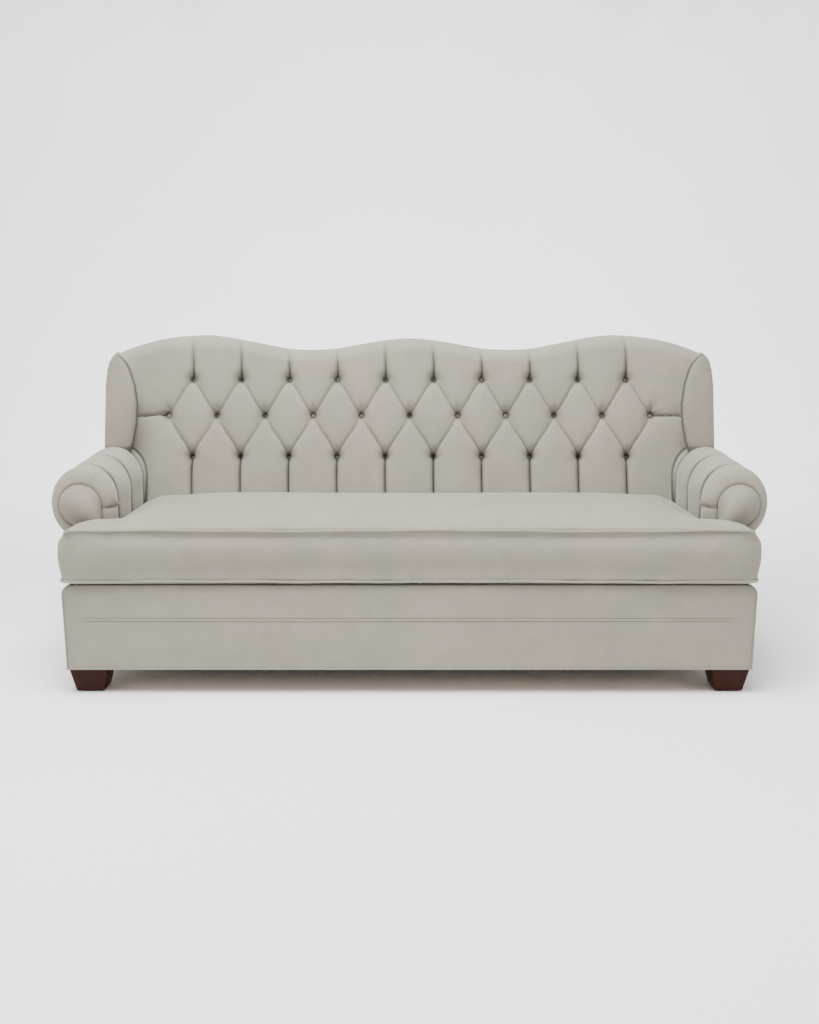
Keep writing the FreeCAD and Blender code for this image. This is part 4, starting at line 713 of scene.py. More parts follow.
def back_pleats(sizes):
    """Pleats as start, end, depths, widths, bow and shades; each starts at a button."""
    top, middle, low = button_places(sizes)
    pleats = []
    for row in (top, low):
        for button, left, right in zip(row, middle, middle[1:]):
            pleats += [(button, left, *TO_LEFT), (button, right, *TO_RIGHT)]
    for x, level in top:
        crest = float(camel_top(np.array([x]), sizes)[0])
        pleats.append(((x, level), (x, crest + 0.012), *TO_CREST))
    pleats += [((x, level), (x, -0.02), *TO_SEAT) for x, level in low]
    pleats += [((x, level), (x + 0.002, level + 0.024), *ABOVE_BUTTON) for x, level in middle + low]
    pleats += [((x, level), (x - 0.001, level - 0.02), *BELOW_BUTTON) for x, level in middle[1:-1]]
    for (x, level), side in ((middle[0], -1), (middle[-1], 1)):
        beyond = (side * (sizes.gap_half + 0.06), level - 0.006)
        pleats.append(((x, level), beyond, *TO_WING))
    return pleats


def tufting(x, up, sizes):
    """Depth and crease shade of the tufted face."""
    swell = np.zeros_like(x)
    fold = np.zeros_like(x)
    hollow = np.zeros_like(x)
    shade = np.zeros_like(x)
    for start, end, depths, widths, bow, shade_ends in back_pleats(sizes):
        share, side = beside(start, end, bow, x, up)
        off = np.abs(side)
        width = between(widths, share) * np.where(side > 0, 1.25, 0.75)
        shallow = 0.72 + 0.28 * np.abs(2 * share - 1)
        swell = np.maximum(swell, bell(off, PLUMP, 1) * shallow)
        fold = np.maximum(fold, between(depths, share) * bell(off, width, 1.3))
        shade = np.maximum(shade, between(shade_ends, share) * bell(off, 0.62 * width))
    for button_x, level in sum(button_places(sizes), []):
        off = np.hypot(x - button_x, up - level)
        turn = np.arctan2(up - level, x - button_x)
        pucker = 1 + 0.2 * np.cos(7 * turn + 11 * button_x) * bell(off, PLUMP, 1)
        hollow = np.maximum(hollow, bell(off, HOLLOW, 1.8) * pucker)
        # Painted shade in and round each button's hollow
        shade = np.maximum(shade, 0.97 * bell(off, RIM, 4))
        shade = np.maximum(shade, 0.3 * bell(off, SHADE_ROUND))
    return sizes.puff * swell + fold + sizes.tuft * hollow, np.clip(shade, 0, 1)


def onto_folds(x, up, sizes, cell):
    """Move points that lie beside a fold onto it, so that the fold is a clean line."""
    best = np.full_like(x, 0.5 * cell)
    new_x, new_up = x.copy(), up.copy()
    for start, end, _, _, bow, _ in back_pleats(sizes):
        _, side = beside(start, end, bow, x, up)
        near = np.abs(side) < best
        away = np.array([end[1] - start[1], start[0] - end[0]]) / math.dist(start, end)
        new_x = np.where(near, x - side * away[0], new_x)
        new_up = np.where(near, up - side * away[1], new_up)
        best = np.where(near, np.abs(side), best)
    return new_x, new_up


def leaning(x, up, depth, sizes):
    """Places in the sofa from width, height up the lean and depth into the back."""
    lean = sizes.rake
    y = BACK_LOW.y + up * math.sin(lean) + depth * math.cos(lean)
    z = BACK_LOW.z + up * math.cos(lean) - depth * math.sin(lean)
    return x, y, z


def button_mesh(radius, place, tilt, turn=0.0):
    """Covered button: a low dome with a tucked rim."""
    shape = bmesh.new()
    bmesh.ops.create_uvsphere(shape, u_segments=20, v_segments=10, radius=radius)
    for vert in shape.verts:
        vert.co.z *= 0.62 if vert.co.z > 0 else 0.35
    spin = Matrix.Rotation(turn, 4, "Z") @ Matrix.Rotation(tilt, 4, "X")
    bmesh.ops.transform(shape, matrix=Matrix.Translation(Vector(place)) @ spin, verts=shape.verts)
    return mesh_of("button", shape)


class SOFA_OT_back(bpy.types.Operator):
    """Model the tufted inside back and its covered buttons"""

    bl_idname = "sofa.back"
    bl_label = "Tufted back"

    def execute(self, context):
        sizes = settings("sofa_back")
        mesh = shaped_grid("inside_back_cover", sizes.columns, sizes.rows,
                           lambda across, along: self.place(across, along, sizes))

        def push(co):
            off_y, off_z = co.y - BACK_LOW.y, co.z - BACK_LOW.z
            up = off_y * math.sin(sizes.rake) + off_z * math.cos(sizes.rake)
            return Vector(leaning(co.x, up, sizes.pad_depth - 0.001, sizes))

        covering("inside_back_cover", close_behind(mesh, push), ["inside_back"])
        caps = []
        for x, level in sum(button_places(sizes), []):
            depth = float(tufting(np.array([x]), np.array([level]), sizes)[0][0])
            spot = leaning(x, level, depth - 0.0015, sizes)
            caps.append(button_mesh(sizes.button_radius, spot, math.pi / 2 - sizes.rake))
        # The button colour is the cloth's with painted shade of the hollow each button sits in.
        tint = settings("sofa_finishes").button
        show("back_button_caps", joined("back_button_caps", caps),
             cloth("button_cloth", tint, 0.6, 0.3), "sofa", ["back_buttons"])
        return {"FINISHED"}

    def place(self, across, along, sizes):
        """Face, rounded top, flat top and drop behind, in this order along the rows."""
        x = (across * 2 - 1) * sizes.half
        level = np.clip(along / FACE_END, 0, 1)
        narrow = sizes.half - sizes.gap_half - 0.008
        rising = level * (sizes.end_rise - sizes.top_round)
        drawn = narrow * (1 - smooth_step(sizes.shoulder - 0.13, sizes.shoulder - 0.04, rising))
        x = x - np.sign(x) * drawn * share_of(0.86, sizes.half, np.abs(x))
        rise = camel_top(x, sizes)
        shoulder_line = rise - sizes.top_round
        up = level * shoulder_line
        flat = along < FACE_END
        snapped_x, snapped_up = onto_folds(x, up, sizes, 2 * sizes.half / sizes.columns)
        x = np.where(flat, snapped_x, x)
        up = np.where(flat, np.clip(snapped_up, 0, shoulder_line), up)
        turn = share_of(FACE_END, ROUND_END, along) * math.pi / 2
        over = share_of(ROUND_END, TOP_END, along)
        drop = share_of(TOP_END, 1, along)
        up = up + sizes.top_round * np.sin(turn)
        inwards = sizes.top_round * (1 - np.cos(turn)) + over * (sizes.top_depth - sizes.top_round)
        sink, shade = tufting(x, np.where(flat, up, shoulder_line + sizes.top_round * turn), sizes)
        fade = 1 - 0.92 * smooth_step(0.15, 1.0, turn / (math.pi / 2))
        sink = sink * fade + 0.0008 * ripple(x, up, 0.4, 19)
        up = up - sink * np.sin(turn) + 0.006 * np.sin(math.pi * over) - 0.044 * drop
        inwards = inwards + sink * np.cos(turn)
        return (*leaning(x, up, inwards, sizes), shade * fade)


# Arms

INNER_END, OUTER_START, FOOT_START = 0.25, 0.8, 0.94     # shares round an arm's section
CLOSED, ROUNDED = 0.04, 0.16     # shares of the rows that close an end, and up to its round edge
KNOT_IN, KNOT_Z = 0.015, 0.53     # where the ends of the cover draw together
ROUND_STEPS = ((0.007, 0.0015), (0.006, 0.003), (0.014, 0.002), (0.016, 0.0005))     # in, and out
CHANNELS = 4
CREASED = 0.4     # share round the section up to which the button's hollow and creases reach


def ring_place(share, centre, half, outer_x, floor):
    """Point on a closed ring: inner side, round top, outer side, and back below."""
    last = -math.acos((outer_x - centre[0]) / half[0])
    rise = np.clip(share / INNER_END, 0, 1)
    bend = share_of(INNER_END, OUTER_START, share)
    fall = share_of(OUTER_START, FOOT_START, share)
    home = share_of(FOOT_START, 1, share)
    turn = math.pi + (last - math.pi) * bend
    x = centre[0] + half[0] * np.cos(turn)
    z = centre[1] + half[1] * np.sin(turn)
    low = centre[1] + half[1] * math.sin(last)
    z = np.where(fall > 0, low + (floor - low) * fall, z)
    z = np.where(bend <= 0, floor + (centre[1] - floor) * rise, z)
    x = np.where(fall > 0, outer_x + (centre[0] - half[0] - outer_x) * home, x)
    return x, z, turn


class SOFA_OT_arms(bpy.types.Operator):
    """Model the channelled arms, their round fronts, piping and buttons"""

    bl_idname = "sofa.arms"
    bl_label = "Rolled arms"

    def execute(self, context):
        sizes = settings("sofa_arms")
        head = (sizes.head_x, PANEL_HIGH.z - sizes.head_radius)
        mesh = shaped_grid("arm_cover", sizes.columns, sizes.rows,
                           lambda across, along: self.place(across, along, sizes, head))
        sealed(mesh)
        panel, welt = self.round_front(sizes, head)
        spot = (ARM_LOW.x + 0.011, ARM_LOW.y + sizes.channel_first, sizes.button_z)
        button = button_mesh(settings("sofa_back").button_radius * 0.95, spot, math.pi / 2,
                             -math.pi / 2)
        for side in ("right", "left"):
            parts = [mesh, panel, welt, button]
            if side == "left":
                parts = [mirror_over(part) for part in parts]
            covering(side + "_arm_cover", parts[0], [side + "_arm_pad"])
            covering(side + "_arm_round_front", parts[1], [side + "_arm_panel"])
            covering(side + "_arm_piping", parts[2])
            show(side + "_arm_button_cap", parts[3], bpy.data.materials["button_cloth"], "sofa",
                 ["arm_buttons"] if side == "left" else [])
        return {"FINISHED"}

    def place(self, across, along, sizes, head):
        """Cover from the round front's outline out to the full roll, closed at both ends."""
        floor = ARM_LOW.z
        edge = share_of(CLOSED, ROUNDED, along) * math.pi / 2
        run = np.clip((along - ROUNDED) / (1 - CLOSED - ROUNDED), 0, 1)
        behind = sizes.edge * (1 - np.cos(edge)) + run * (ARM_HIGH.y - ARM_LOW.y - sizes.edge)
        climb = sizes.rise * np.minimum(behind / sizes.rise_run, 1)
        front_x, front_z, _ = ring_place(across, head, [sizes.head_radius] * 2, sizes.stem, floor)
        full_x, full_z, turn = ring_place(across, (sizes.roll_x, sizes.roll_z),
                                          (sizes.roll_wide, sizes.roll_high), sizes.outer, floor)
        full_z = full_z + climb * share_of(floor, sizes.roll_z, full_z)
        blend = np.sin(edge)
        x = front_x + (full_x - front_x) * blend
        z = front_z + (full_z - front_z) * blend
        sink, shade = self.channels(across, behind, z, edge, sizes)
        on_round = (across > INNER_END) & (across < OUTER_START)
        away_x = np.where(across <= INNER_END, -1.0, np.where(on_round, np.cos(turn), 1.0))
        away_z = np.where(on_round, np.sin(turn), 0.0)
        sink = np.where(across > FOOT_START, 0, sink)
        x = x - sink * away_x * blend
        z = z - sink * away_z * blend
        y = ARM_LOW.y + behind + sink * (1 - blend) * 0.6
        ends = np.minimum(share_of(0, CLOSED, along), np.clip((1 - along) / CLOSED, 0, 1))
        knot_x = head[0] - KNOT_IN
        return knot_x + (x - knot_x) * ends, y, KNOT_Z + (z - KNOT_Z) * ends, shade * ends

    def channels(self, across, behind, z, edge, sizes):
        """Depth and painted crease shade of the channels, the button's hollow and the gathers, with
        painted shade where the arm meets the back and beside the round front.
        """
        sink = np.zeros_like(across)
        shade = np.zeros_like(across)
        wide = smooth_step(0.84, 0.74, across)
        top = bell(across - 0.5, 0.075)
        spread = 1 + smooth_step(0.5, 0.32, across)
        bow = 0.014 * np.sin(math.pi * share_of(0.2, 0.8, across))
        for number in range(CHANNELS):
            spot = sizes.channel_first + number * sizes.channel_step
            off = np.abs(behind - spot - bow + 0.003 * np.sin(9 * across + number))
            fold = 0.5 * bell(off, PLUMP, 1) + 0.8 * bell(off, 0.005 * spread, 1.4)
            sink = np.maximum(sink, sizes.channel_depth * fold * wide * (1 - 0.35 * top))
            shade = np.maximum(shade, wide * (1 - 0.7 * top) * bell(off, 0.0062 * spread, 4))
        # Painted shade in a narrow band where the arm meets the inside back
        corner = behind - sizes.back_gap - math.tan(settings("sofa_back").rake) * (z - BACK_LOW.z)
        meeting = smooth_step(-0.034, -0.014, corner) * smooth_step(0.035, 0.02, corner)
        shade = np.maximum(shade, 0.95 * meeting * (across < 0.42))
        inner_side = across < CREASED
        knot = np.hypot(behind - sizes.channel_first, z - sizes.button_z)
        sink = np.maximum(sink, inner_side * 0.017 * bell(knot, 0.016, 1.6))
        shade = np.maximum(shade, inner_side * 0.7 * bell(knot, 0.013, 4))
        level = np.abs(z - sizes.button_z + 0.05 * (behind - sizes.channel_first))
        forward = inner_side & (behind < sizes.channel_first)
        crease = 0.006 * bell(level, 0.012, 1) + 0.004 * bell(level, 0.003, 1)
        sink = np.maximum(sink, forward * crease)
        shade = np.maximum(shade, forward * 0.7 * bell(level, 0.003))
        gather = np.clip(1 - behind / 0.05, 0, 1) * (across > 0.22) * (across < OUTER_START)
        lines = np.abs(np.sin(30 * across + 2.4 * np.sin(11 * across)))
        rounded = np.sin(np.clip(edge, 0.15, math.pi) * 1.6)
        sink = sink + 0.0016 * gather * (1 - lines) ** 2 * rounded
        shade = np.maximum(shade, 0.26 * gather * (1 - lines) ** 8)
        # Painted shade beside the round front and its piping
        shade = np.maximum(shade, 0.8 * bell(edge, 0.2))
        return sink + 0.0008 * ripple(across * 0.8, behind, 1.3, 34), shade

    def round_front(self, sizes, head):
        """Padded round front with its stem, and the piping round it."""
        x, z, _ = ring_place(np.linspace(0, FOOT_START, 90), head, [sizes.head_radius] * 2,
                             sizes.stem, ARM_LOW.z)
        front = PANEL_LOW.y
        shape = bmesh.new()
        rim = [shape.verts.new((px, front + 0.004, pz)) for px, pz in zip(x, z)]
        face = bmesh.ops.contextual_create(shape, geom=rim)["faces"]
        for inset, out in ROUND_STEPS:
            bmesh.ops.inset_region(shape, faces=face, thickness=inset, use_even_offset=True)
            for vert in {vert for item in face for vert in item.verts}:
                vert.co.y -= out
        for vert in drawn_rim(shape):
            vert.co.y = PANEL_HIGH.y - 0.001
        fill_open(shape)
        bmesh.ops.recalc_face_normals(shape, faces=shape.faces)
        panel = mesh_of("arm_round_front", shape)
        # Painted shade on the panel's outer ring, beside the piping
        paint_crease_shade(panel, 0.9 * (points_of(panel)[:, 1] > front + 0.0035))
        path = [(px, front + 0.003, pz) for px, pz in zip(x, z)]
        return panel, cord_mesh("arm_piping", path, sizes.welt)


# Wings

WING_FOOT = 0.64     # height of a wing cover's lower edge
SIDE_SHARE = 0.27     # share of the columns for each side of a wing
WING_CELLS = (110, 150)
PULLS = (0.968, 0.947, 0.922)     # heights of the small pulls near a wing's tip


def wing_edges(z, sizes):
    """Inner and outer edge of a wing at given heights."""
    rows = np.array([
        (WING_FOOT, 0.962, sizes.outer), (0.709, 0.936, sizes.outer), (0.77, 0.923, 1.0335),
        (sizes.waist_z, sizes.inner, 1.0295), (0.90, 0.9245, 1.0255), (0.95, 0.9385, 1.0175),
        (0.975, 0.9505, 1.0095), (0.995, 0.966, 0.9955), (sizes.tip_z, sizes.tip_x, sizes.tip_x),
    ])
    return np.interp(z, rows[:, 0], rows[:, 1]), np.interp(z, rows[:, 0], rows[:, 2])


class SOFA_OT_wings(bpy.types.Operator):
    """Model the padded wings"""

    bl_idname = "sofa.wings"
    bl_label = "Wings"

    def execute(self, context):
        sizes = settings("sofa_wings")
        mesh = shaped_grid("wing_cover", *WING_CELLS,
                           lambda across, along: self.place(across, along, sizes))
        sealed(mesh, fill=True)
        for side, made in (("right", mesh), ("left", mirror_over(mesh))):
            covering(side + "_wing_cover", made, [side + "_wing_pad"])
        return {"FINISHED"}

    def place(self, across, along, sizes):
        """Inner side, rounded front and outer side across the columns, with a few pulls."""
        z = WING_FOOT + (sizes.tip_z - WING_FOOT) * (1 - (1 - along) ** 1.6)
        inner, outer = wing_edges(z, sizes)
        middle, half = (inner + outer) / 2, (outer - inner) / 2
        turn = (share_of(SIDE_SHARE, 1 - SIDE_SHARE, across) - 0.5) * math.pi
        power = 2 / 2.8
        sine, cosine = np.sin(turn), np.cos(turn)
        x = middle + half * np.sign(sine) * np.abs(sine) ** power
        soft = np.minimum(sizes.softness, half * 0.9 + 0.004)
        front = WING_LOW.y + soft * (1 - np.abs(cosine) ** power)
        inner_run = np.clip(1 - across / SIDE_SHARE, 0, 1)
        outer_run = np.clip(1 - (1 - across) / SIDE_SHARE, 0, 1)
        behind = (inner_run + outer_run) * (WING_HIGH.y - WING_LOW.y - soft - 0.004)
        inner_side = np.minimum(inner + sizes.recede * behind, sizes.outer - 0.014)
        x = np.where(inner_run > 0, inner_side, x)
        arch = np.sqrt(1 - np.clip((z - sizes.tip_z + 0.045) / 0.045, 0, 1) ** 2)
        outer_side = x + (sizes.outer - 0.006 - x) * smooth_step(0, 0.14, behind) * arch
        x = np.where(outer_run > 0, np.maximum(outer_side, inner_side), x)
        z = z - 0.038 * smooth_step(0.2, 0.34, behind) * smooth_step(0.9, 1.0, z)
        crumple = smooth_step(0.88, 0.95, z) * smooth_step(0.1, 0.9, sine) * (outer_run <= 0)
        pulls = sum(bell(z - level + 0.12 * (x - 1), 0.003) for level in PULLS)
        uneven = 0.0009 * (1 + ripple(x * 2, z, 0.7, 27)) * (behind <= 0)
        # Painted shade: a dark line along the inner edge where the gap behind the wing is (seam
        # names no real seam), a line at the foot where the wing meets the arm, and shade in the
        # pulls
        seam = bell(x - inner, 0.0042) * (sine < 0) * (behind < 0.001)
        foot = bell(np.clip(z - 0.69, 0, 1), 0.004, 1)
        shade = np.maximum(np.maximum(0.95 * seam, 0.3 * pulls * crumple), 0.6 * foot)
        return x, front + behind + 0.003 * pulls * crumple + uneven, z, shade


# Seat cushion

PATH_STEP, CORNER_STEPS = 0.03, 8     # spacing of the piping's points, and steps round a corner
ENDS_IN, SHOULDER_Z = 0.055, 0.465     # where the ends start to round, inwards and upwards
LIP_REAR, LIP_FRONT, LIP_TOP = -0.365, -0.435, 0.44     # where the front lip starts to sag


def cushion_path(inset, z, sizes):
    """Points round the cushion at one height: rounded corners, and a front that draws in."""
    front = CUSHION_LOW.y + inset
    rear = CUSHION_HIGH.y - inset - 0.001
    ear, side, ear_rear = sizes.ear - inset, sizes.side - inset, sizes.ear_rear - inset
    corners = [(ear, front, sizes.ear_round), (ear, ear_rear, sizes.ear_round),
               (side, ear_rear, sizes.corner_round), (side, rear, sizes.corner_round)]
    corners += [(-x, y, radius) for x, y, radius in reversed(corners)]
    path = []
    for number, (x, y, radius) in enumerate(corners):
        following = corners[(number + 1) % len(corners)]
        here = Vector((x, y, z))
        before = (Vector((*corners[number - 1][:2], z)) - here).normalized()
        after = (Vector((*following[:2], z)) - here).normalized()
        centre = here + (before + after) * radius
        for step in range(CORNER_STEPS + 1):
            turn = step / CORNER_STEPS * math.pi / 2
            path.append(centre - after * radius * math.cos(turn) - before * radius * math.sin(turn))
        there = Vector((*following[:2], z)) - after * following[2]
        start = here + after * radius
        count = max(2, int((there - start).length / PATH_STEP))
        for step in range(1, count):
            spot = start.lerp(there, step / count)
            if following is corners[0]:
                spot.y += sizes.draw_in * (1 - (2 * step / count - 1) ** 2)
            path.append(spot)
    return path


def settled(points, sizes):
    """Cushion points, their upper outer corners rounded and the front lip on the base."""
    x, y, z = points.T
    end = np.clip((np.abs(x) - (sizes.ear - ENDS_IN)) / ENDS_IN, 0, 1.2)
    high = np.clip((z - SHOULDER_Z) / 0.04, 0, 1.2)
    lip = smooth_step(LIP_REAR, LIP_FRONT, y) * smooth_step(LIP_TOP, sizes.welt_low + 0.006, z)
    new_x = x - np.sign(x) * 0.02 * end * high ** 2
    new_z = z - 0.015 * end ** 2 * high - sizes.sag * lip
    return np.stack([new_x, y, new_z], axis=1)


class SOFA_OT_cushion(bpy.types.Operator):
    """Model the bench cushion and its self-piping"""

    bl_idname = "sofa.cushion"
    bl_label = "Bench cushion"

    def execute(self, context):
        sizes = settings("sofa_cushion")
        mesh = soft_copy("bench_cushion", "seat_cushion", sizes.voxel, 6)
        rest = points_of(mesh)
        normals = np.empty(rest.size)
        mesh.vertices.foreach_get("normal", normals)
        normals = normals.reshape(-1, 3)
        level = rest[:, 2]
        boxing = np.minimum(np.abs(level - sizes.welt_low), np.abs(level - sizes.welt_high))
        front = np.clip(-normals[:, 1], 0, 1) * (rest[:, 1] < sizes.ear_rear)
        top = np.clip(normals[:, 2], 0, 1)
        allowed = np.clip(top + front, 0, 1) * smooth_step(0.002, 0.02, boxing)
        stuffed(mesh, sizes.swell, allowed)
        points = points_of(mesh)
        x, y, z = points.T
        side = np.abs(x)
        crown = 1 - 0.4 * smooth_step(0.6, 0.93, side) - 0.5 * smooth_step(0.93, 1.04, side)
        points[:, 2] -= np.clip(z - sizes.welt_high, 0, 1) * (1 - crown)
        dent = 0.0022 * ripple(x, y, 3.1, 6.5) * top
        pull = 0.0013 * np.sin(x * 46 + 2 * np.sin(x * 9)) * bell(boxing, 0.02, 1) * front
        points[:, 2] += dent + 0.6 * pull * (z < sizes.welt_low + 0.03)
        points[:, 1] += pull + 0.0016 * ripple(x, z, 5.2, 11) * front
        points[:, 2] = np.maximum(points[:, 2], CUSHION_LOW.z)
        put_points(mesh, settled(points, sizes))
        # Painted shade beside the piping
        paint_crease_shade(mesh, 0.28 * bell(boxing, 0.006))
        show("bench_cushion", mesh, upholstery(), "cushion", ["seat_cushion"])
        cords = []
        for number, z in enumerate((sizes.welt_low, sizes.welt_high)):
            path = np.array(cushion_path(sizes.boxing, z, sizes))
            across = path[:, 0]
            path[:, 2] += 0.0016 * np.sin(across * 7 + number) + 0.0009 * np.sin(across * 23)
            cords.append(cord_mesh("cushion_cord", settled(path, sizes), sizes.welt, True))
        show("cushion_piping", joined("cushion_piping", cords), upholstery(), "cushion",
             ["cushion_welts"])
        return {"FINISHED"}


# Base

HEM_IN = 0.0039     # the covers' lower edge inside the lower band's ends
FOOT_TAPER = 0.724     # width of a foot at the floor as a share of its width at the top


def soft_panel(name, cells_across, outline, way, bulge, thick):
    """Closed padded panel; outline turns shares across and up into x, y, z and crease shade."""
    def place(across, up):
        x, y, z, shade = outline(across, up)
        rim = 1 - np.maximum(np.abs(2 * across - 1) ** 40, np.abs(2 * up - 1) ** 8)
        uneven = 0.0009 * ripple(across * 2.2, up * 0.4, 1.1 + bulge * 90, 14)
        lift = (bulge + uneven) * rim
        # Painted shade towards the panel's edges
        return x + way[0] * lift, y + way[1] * lift, z, np.maximum(shade, 0.25 * (1 - rim) ** 3)

    sheet = shaped_grid(name, *cells_across, place)
    return close_behind(sheet, lambda co: co - Vector(way) * thick)


class SOFA_OT_base(bpy.types.Operator):
    """Model the padded base, its piping, the rear cover and the outside back"""

    bl_idname = "sofa.base"
    bl_label = "Upholstered base"

    def execute(self, context):
        sizes = settings("sofa_base")
        lower_half = LOWER_HIGH.x - HEM_IN
        top = SIDE_HIGH.z
        front = UPPER_LOW.y + 0.001

        def half_at(z):
            share = share_of(LOWER_LOW.z, top - sizes.corner, z)
            taper = between((lower_half, UPPER_HIGH.x), share)
            over = np.clip(z - (top - sizes.corner), 0, sizes.corner)
            return taper - sizes.corner + np.sqrt(np.maximum(sizes.corner ** 2 - over ** 2, 0))

        def front_outline(across, up):
            z = between((LOWER_LOW.z, UPPER_HIGH.z), up)
            x = (across * 2 - 1) * half_at(z)
            groove = bell(z - sizes.seam, 0.005) * smooth_step(0, 0.02, sizes.seam_half - np.abs(x))
            gathers = 0.0016 * np.sin(x * 19 + 1.6 * np.sin(x * 7)) * smooth_step(0.29, 0.333, z)
            # Painted shade along the seam's groove
            return x, front + 0.0025 * groove + gathers, z, 0.45 * groove

        def side_outline(across, up):
            z = between((SIDE_LOW.z, top), up)
            return half_at(z), between((UPPER_LOW.y, SIDE_HIGH.y), across), z, 0

        def rear_outline(across, up):
            z = between((REAR_LOW.z, top), up)
            return (1 - across * 2) * half_at(z), REAR_HIGH.y + 0 * z, z, 0

        cover = soft_panel("front_cover", (260, 84), front_outline, (0, -1, 0), sizes.bulge, 0.0035)
        covering("front_cover", cover, ["upper_band", "lower_band"])
        flank = soft_panel("side_covering", (120, 60), side_outline, (1, 0, 0), 0.002, 0.006)
        covering("right_side_covering", flank, ["right_side_cover"])
        covering("left_side_covering", mirror_over(flank), ["left_side_cover"])
        rear = soft_panel("rear_base_covering", (160, 30), rear_outline, (0, 1, 0), 0.002, 0.004)
        covering("rear_base_covering", rear, ["base_back_cover"])
        self.outside_back()
        self.piping(sizes, float(half_at(np.array([LOWER_LOW.z]))[0]), front)
        self.feet(sizes)
        return {"FINISHED"}

    def outside_back(self):
        """Cloth over the rear of the back, up to the camel-back top, with its piping."""
        back = settings("sofa_back")

        def outline(across, up):
            x = (1 - across * 2) * OUTSIDE_HIGH.x
            rise = camel_top(np.clip(x, -back.half, back.half), back)
            top = BACK_HIGH.z + (rise - back.hump_rise) * math.cos(back.rake) - 0.034
            z = between((OUTSIDE_LOW.z, top), up)
            level = (z - OUTSIDE_LOW.z) / (OUTSIDE_HIGH.z - OUTSIDE_LOW.z)
            return x, between((OUTSIDE_LOW.y + 0.009, OUTSIDE_HIGH.y), level), z, 0

        panel = soft_panel("outside_back_covering", (200, 70), outline, (0, 1, 0), 0.003, 0.008)
        covering("outside_back_covering", panel, ["outside_back"])
        x, y, z, _ = outline(np.linspace(0.002, 0.998, 90), np.ones(90))
        path = list(zip(x, y - 0.002, z))
        covering("outside_back_piping", cord_mesh("outside_back_piping", path, 0.0032))

    def piping(self, sizes, half, front):
        """Piped seam across the front, and the piped hem round the base."""
        x = np.linspace(-sizes.seam_half, sizes.seam_half, 80)
        proud = 0.0022 * (1 - (x / sizes.seam_half) ** 8)
        seam = list(zip(x, front - proud, sizes.seam + 0.0007 * np.sin(5 * x)))
        low = LOWER_LOW.z + sizes.welt
        rear = SIDE_HIGH.y
        hem = [(-half, rear, low), (-half, front, low), (half, front, low), (half, rear, low)]
        cords = [cord_mesh("seam", seam, sizes.welt), cord_mesh("hem", hem, sizes.welt, True)]
        covering("base_piping", joined("base_piping", cords), ["base_welts"])

    def feet(self, sizes):
        """Four tapered, stained feet with softened edges."""
        material = wood("mahogany_stain", settings("sofa_finishes").mahogany, 1.8, 0.36, 0.1)
        for node in ("left_front_foot", "left_back_foot", "right_front_foot", "right_back_foot"):
            low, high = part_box(node)
            middle = (low + high) / 2
            half = (high.x - low.x) / 2
            shape = bmesh.new()
            bmesh.ops.create_cube(shape, size=2)
            for vert in shape.verts:
                upper = vert.co.z > 0
                wide = half if upper else half * FOOT_TAPER
                vert.co = (middle.x + vert.co.x * wide, middle.y + vert.co.y * wide,
                           high.z if upper else low.z)
            bmesh.ops.bevel(shape, geom=shape.edges, offset=sizes.foot_bevel, segments=3,
                            profile=0.5, affect="EDGES", material=-1)
            name = node + "_block"
            show(name, mesh_of(name, shape), material, "sofa", [node])


# Bed

EDGE_CORD = 0.011     # edge cord below or above a mattress's face
CORD_TUCK = 0.004     # edge cord inside the mattress's sides


class SOFA_OT_bed(bpy.types.Operator):
    """Model the quilted mattress sections with their edge cords"""

    bl_idname = "sofa.bed"
    bl_label = "Folded mattress"

    def execute(self, context):
        sizes = settings("sofa_bed")
        tint = settings("sofa_finishes").ticking
        values = {"Colour": (*tint, 1), "Variation": 0.7, "Shade": 0.35}
        ticking = finish("mattress_ticking", cloth_group(), values, 0.3, 0.0006,
                         Specular_IOR_Level=0.3)
        for part in ("head", "middle", "foot"):
            low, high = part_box(part + "_mattress")
            name = part + "_quilted_mattress"
            mesh = soft_copy(name, part + "_mattress", sizes.voxel, 3)
            points = points_of(mesh)
            x, y, z = points.T
            quilted = self.stitches(x, y, sizes.quilt) * smooth_step(0, 0.03, np.minimum(
                np.minimum(x - low.x, high.x - x), np.minimum(y - low.y, high.y - y)))
            points[:, 2] -= np.sign(z - (low.z + high.z) / 2) * sizes.quilt_depth * quilted
            put_points(mesh, points)
            # Painted shade along the quilting's stitched lines
            paint_crease_shade(mesh, 0.5 * quilted)
            show(name, mesh, ticking, part + "_section", [part + "_mattress"])
            left, right = low.x + CORD_TUCK, high.x - CORD_TUCK
            front, rear = low.y + CORD_TUCK, high.y - CORD_TUCK
            cords = []
            for level in (low.z + EDGE_CORD, high.z - EDGE_CORD):
                path = [(x, y, level) for x, y in (
                    (left, front), (right, front), (right, rear), (left, rear))]
                cords.append(cord_mesh("edge_cord", path, sizes.cord, True))
            name = part + "_mattress_cord"
            show(name, joined(name, cords), ticking, part + "_section")
        return {"FINISHED"}

    def stitches(self, x, y, quilt):
        """1 on the quilting's crossed lines, falling off beside them."""
        half_line = quilt * 0.3535
        off = [half_line - np.abs(way / quilt % 1 - 0.5) * quilt * 0.707 for way in (x + y, x - y)]
        return bell(np.minimum(*off), 0.014, 1)


# Finishes of the pieces that come from the frame

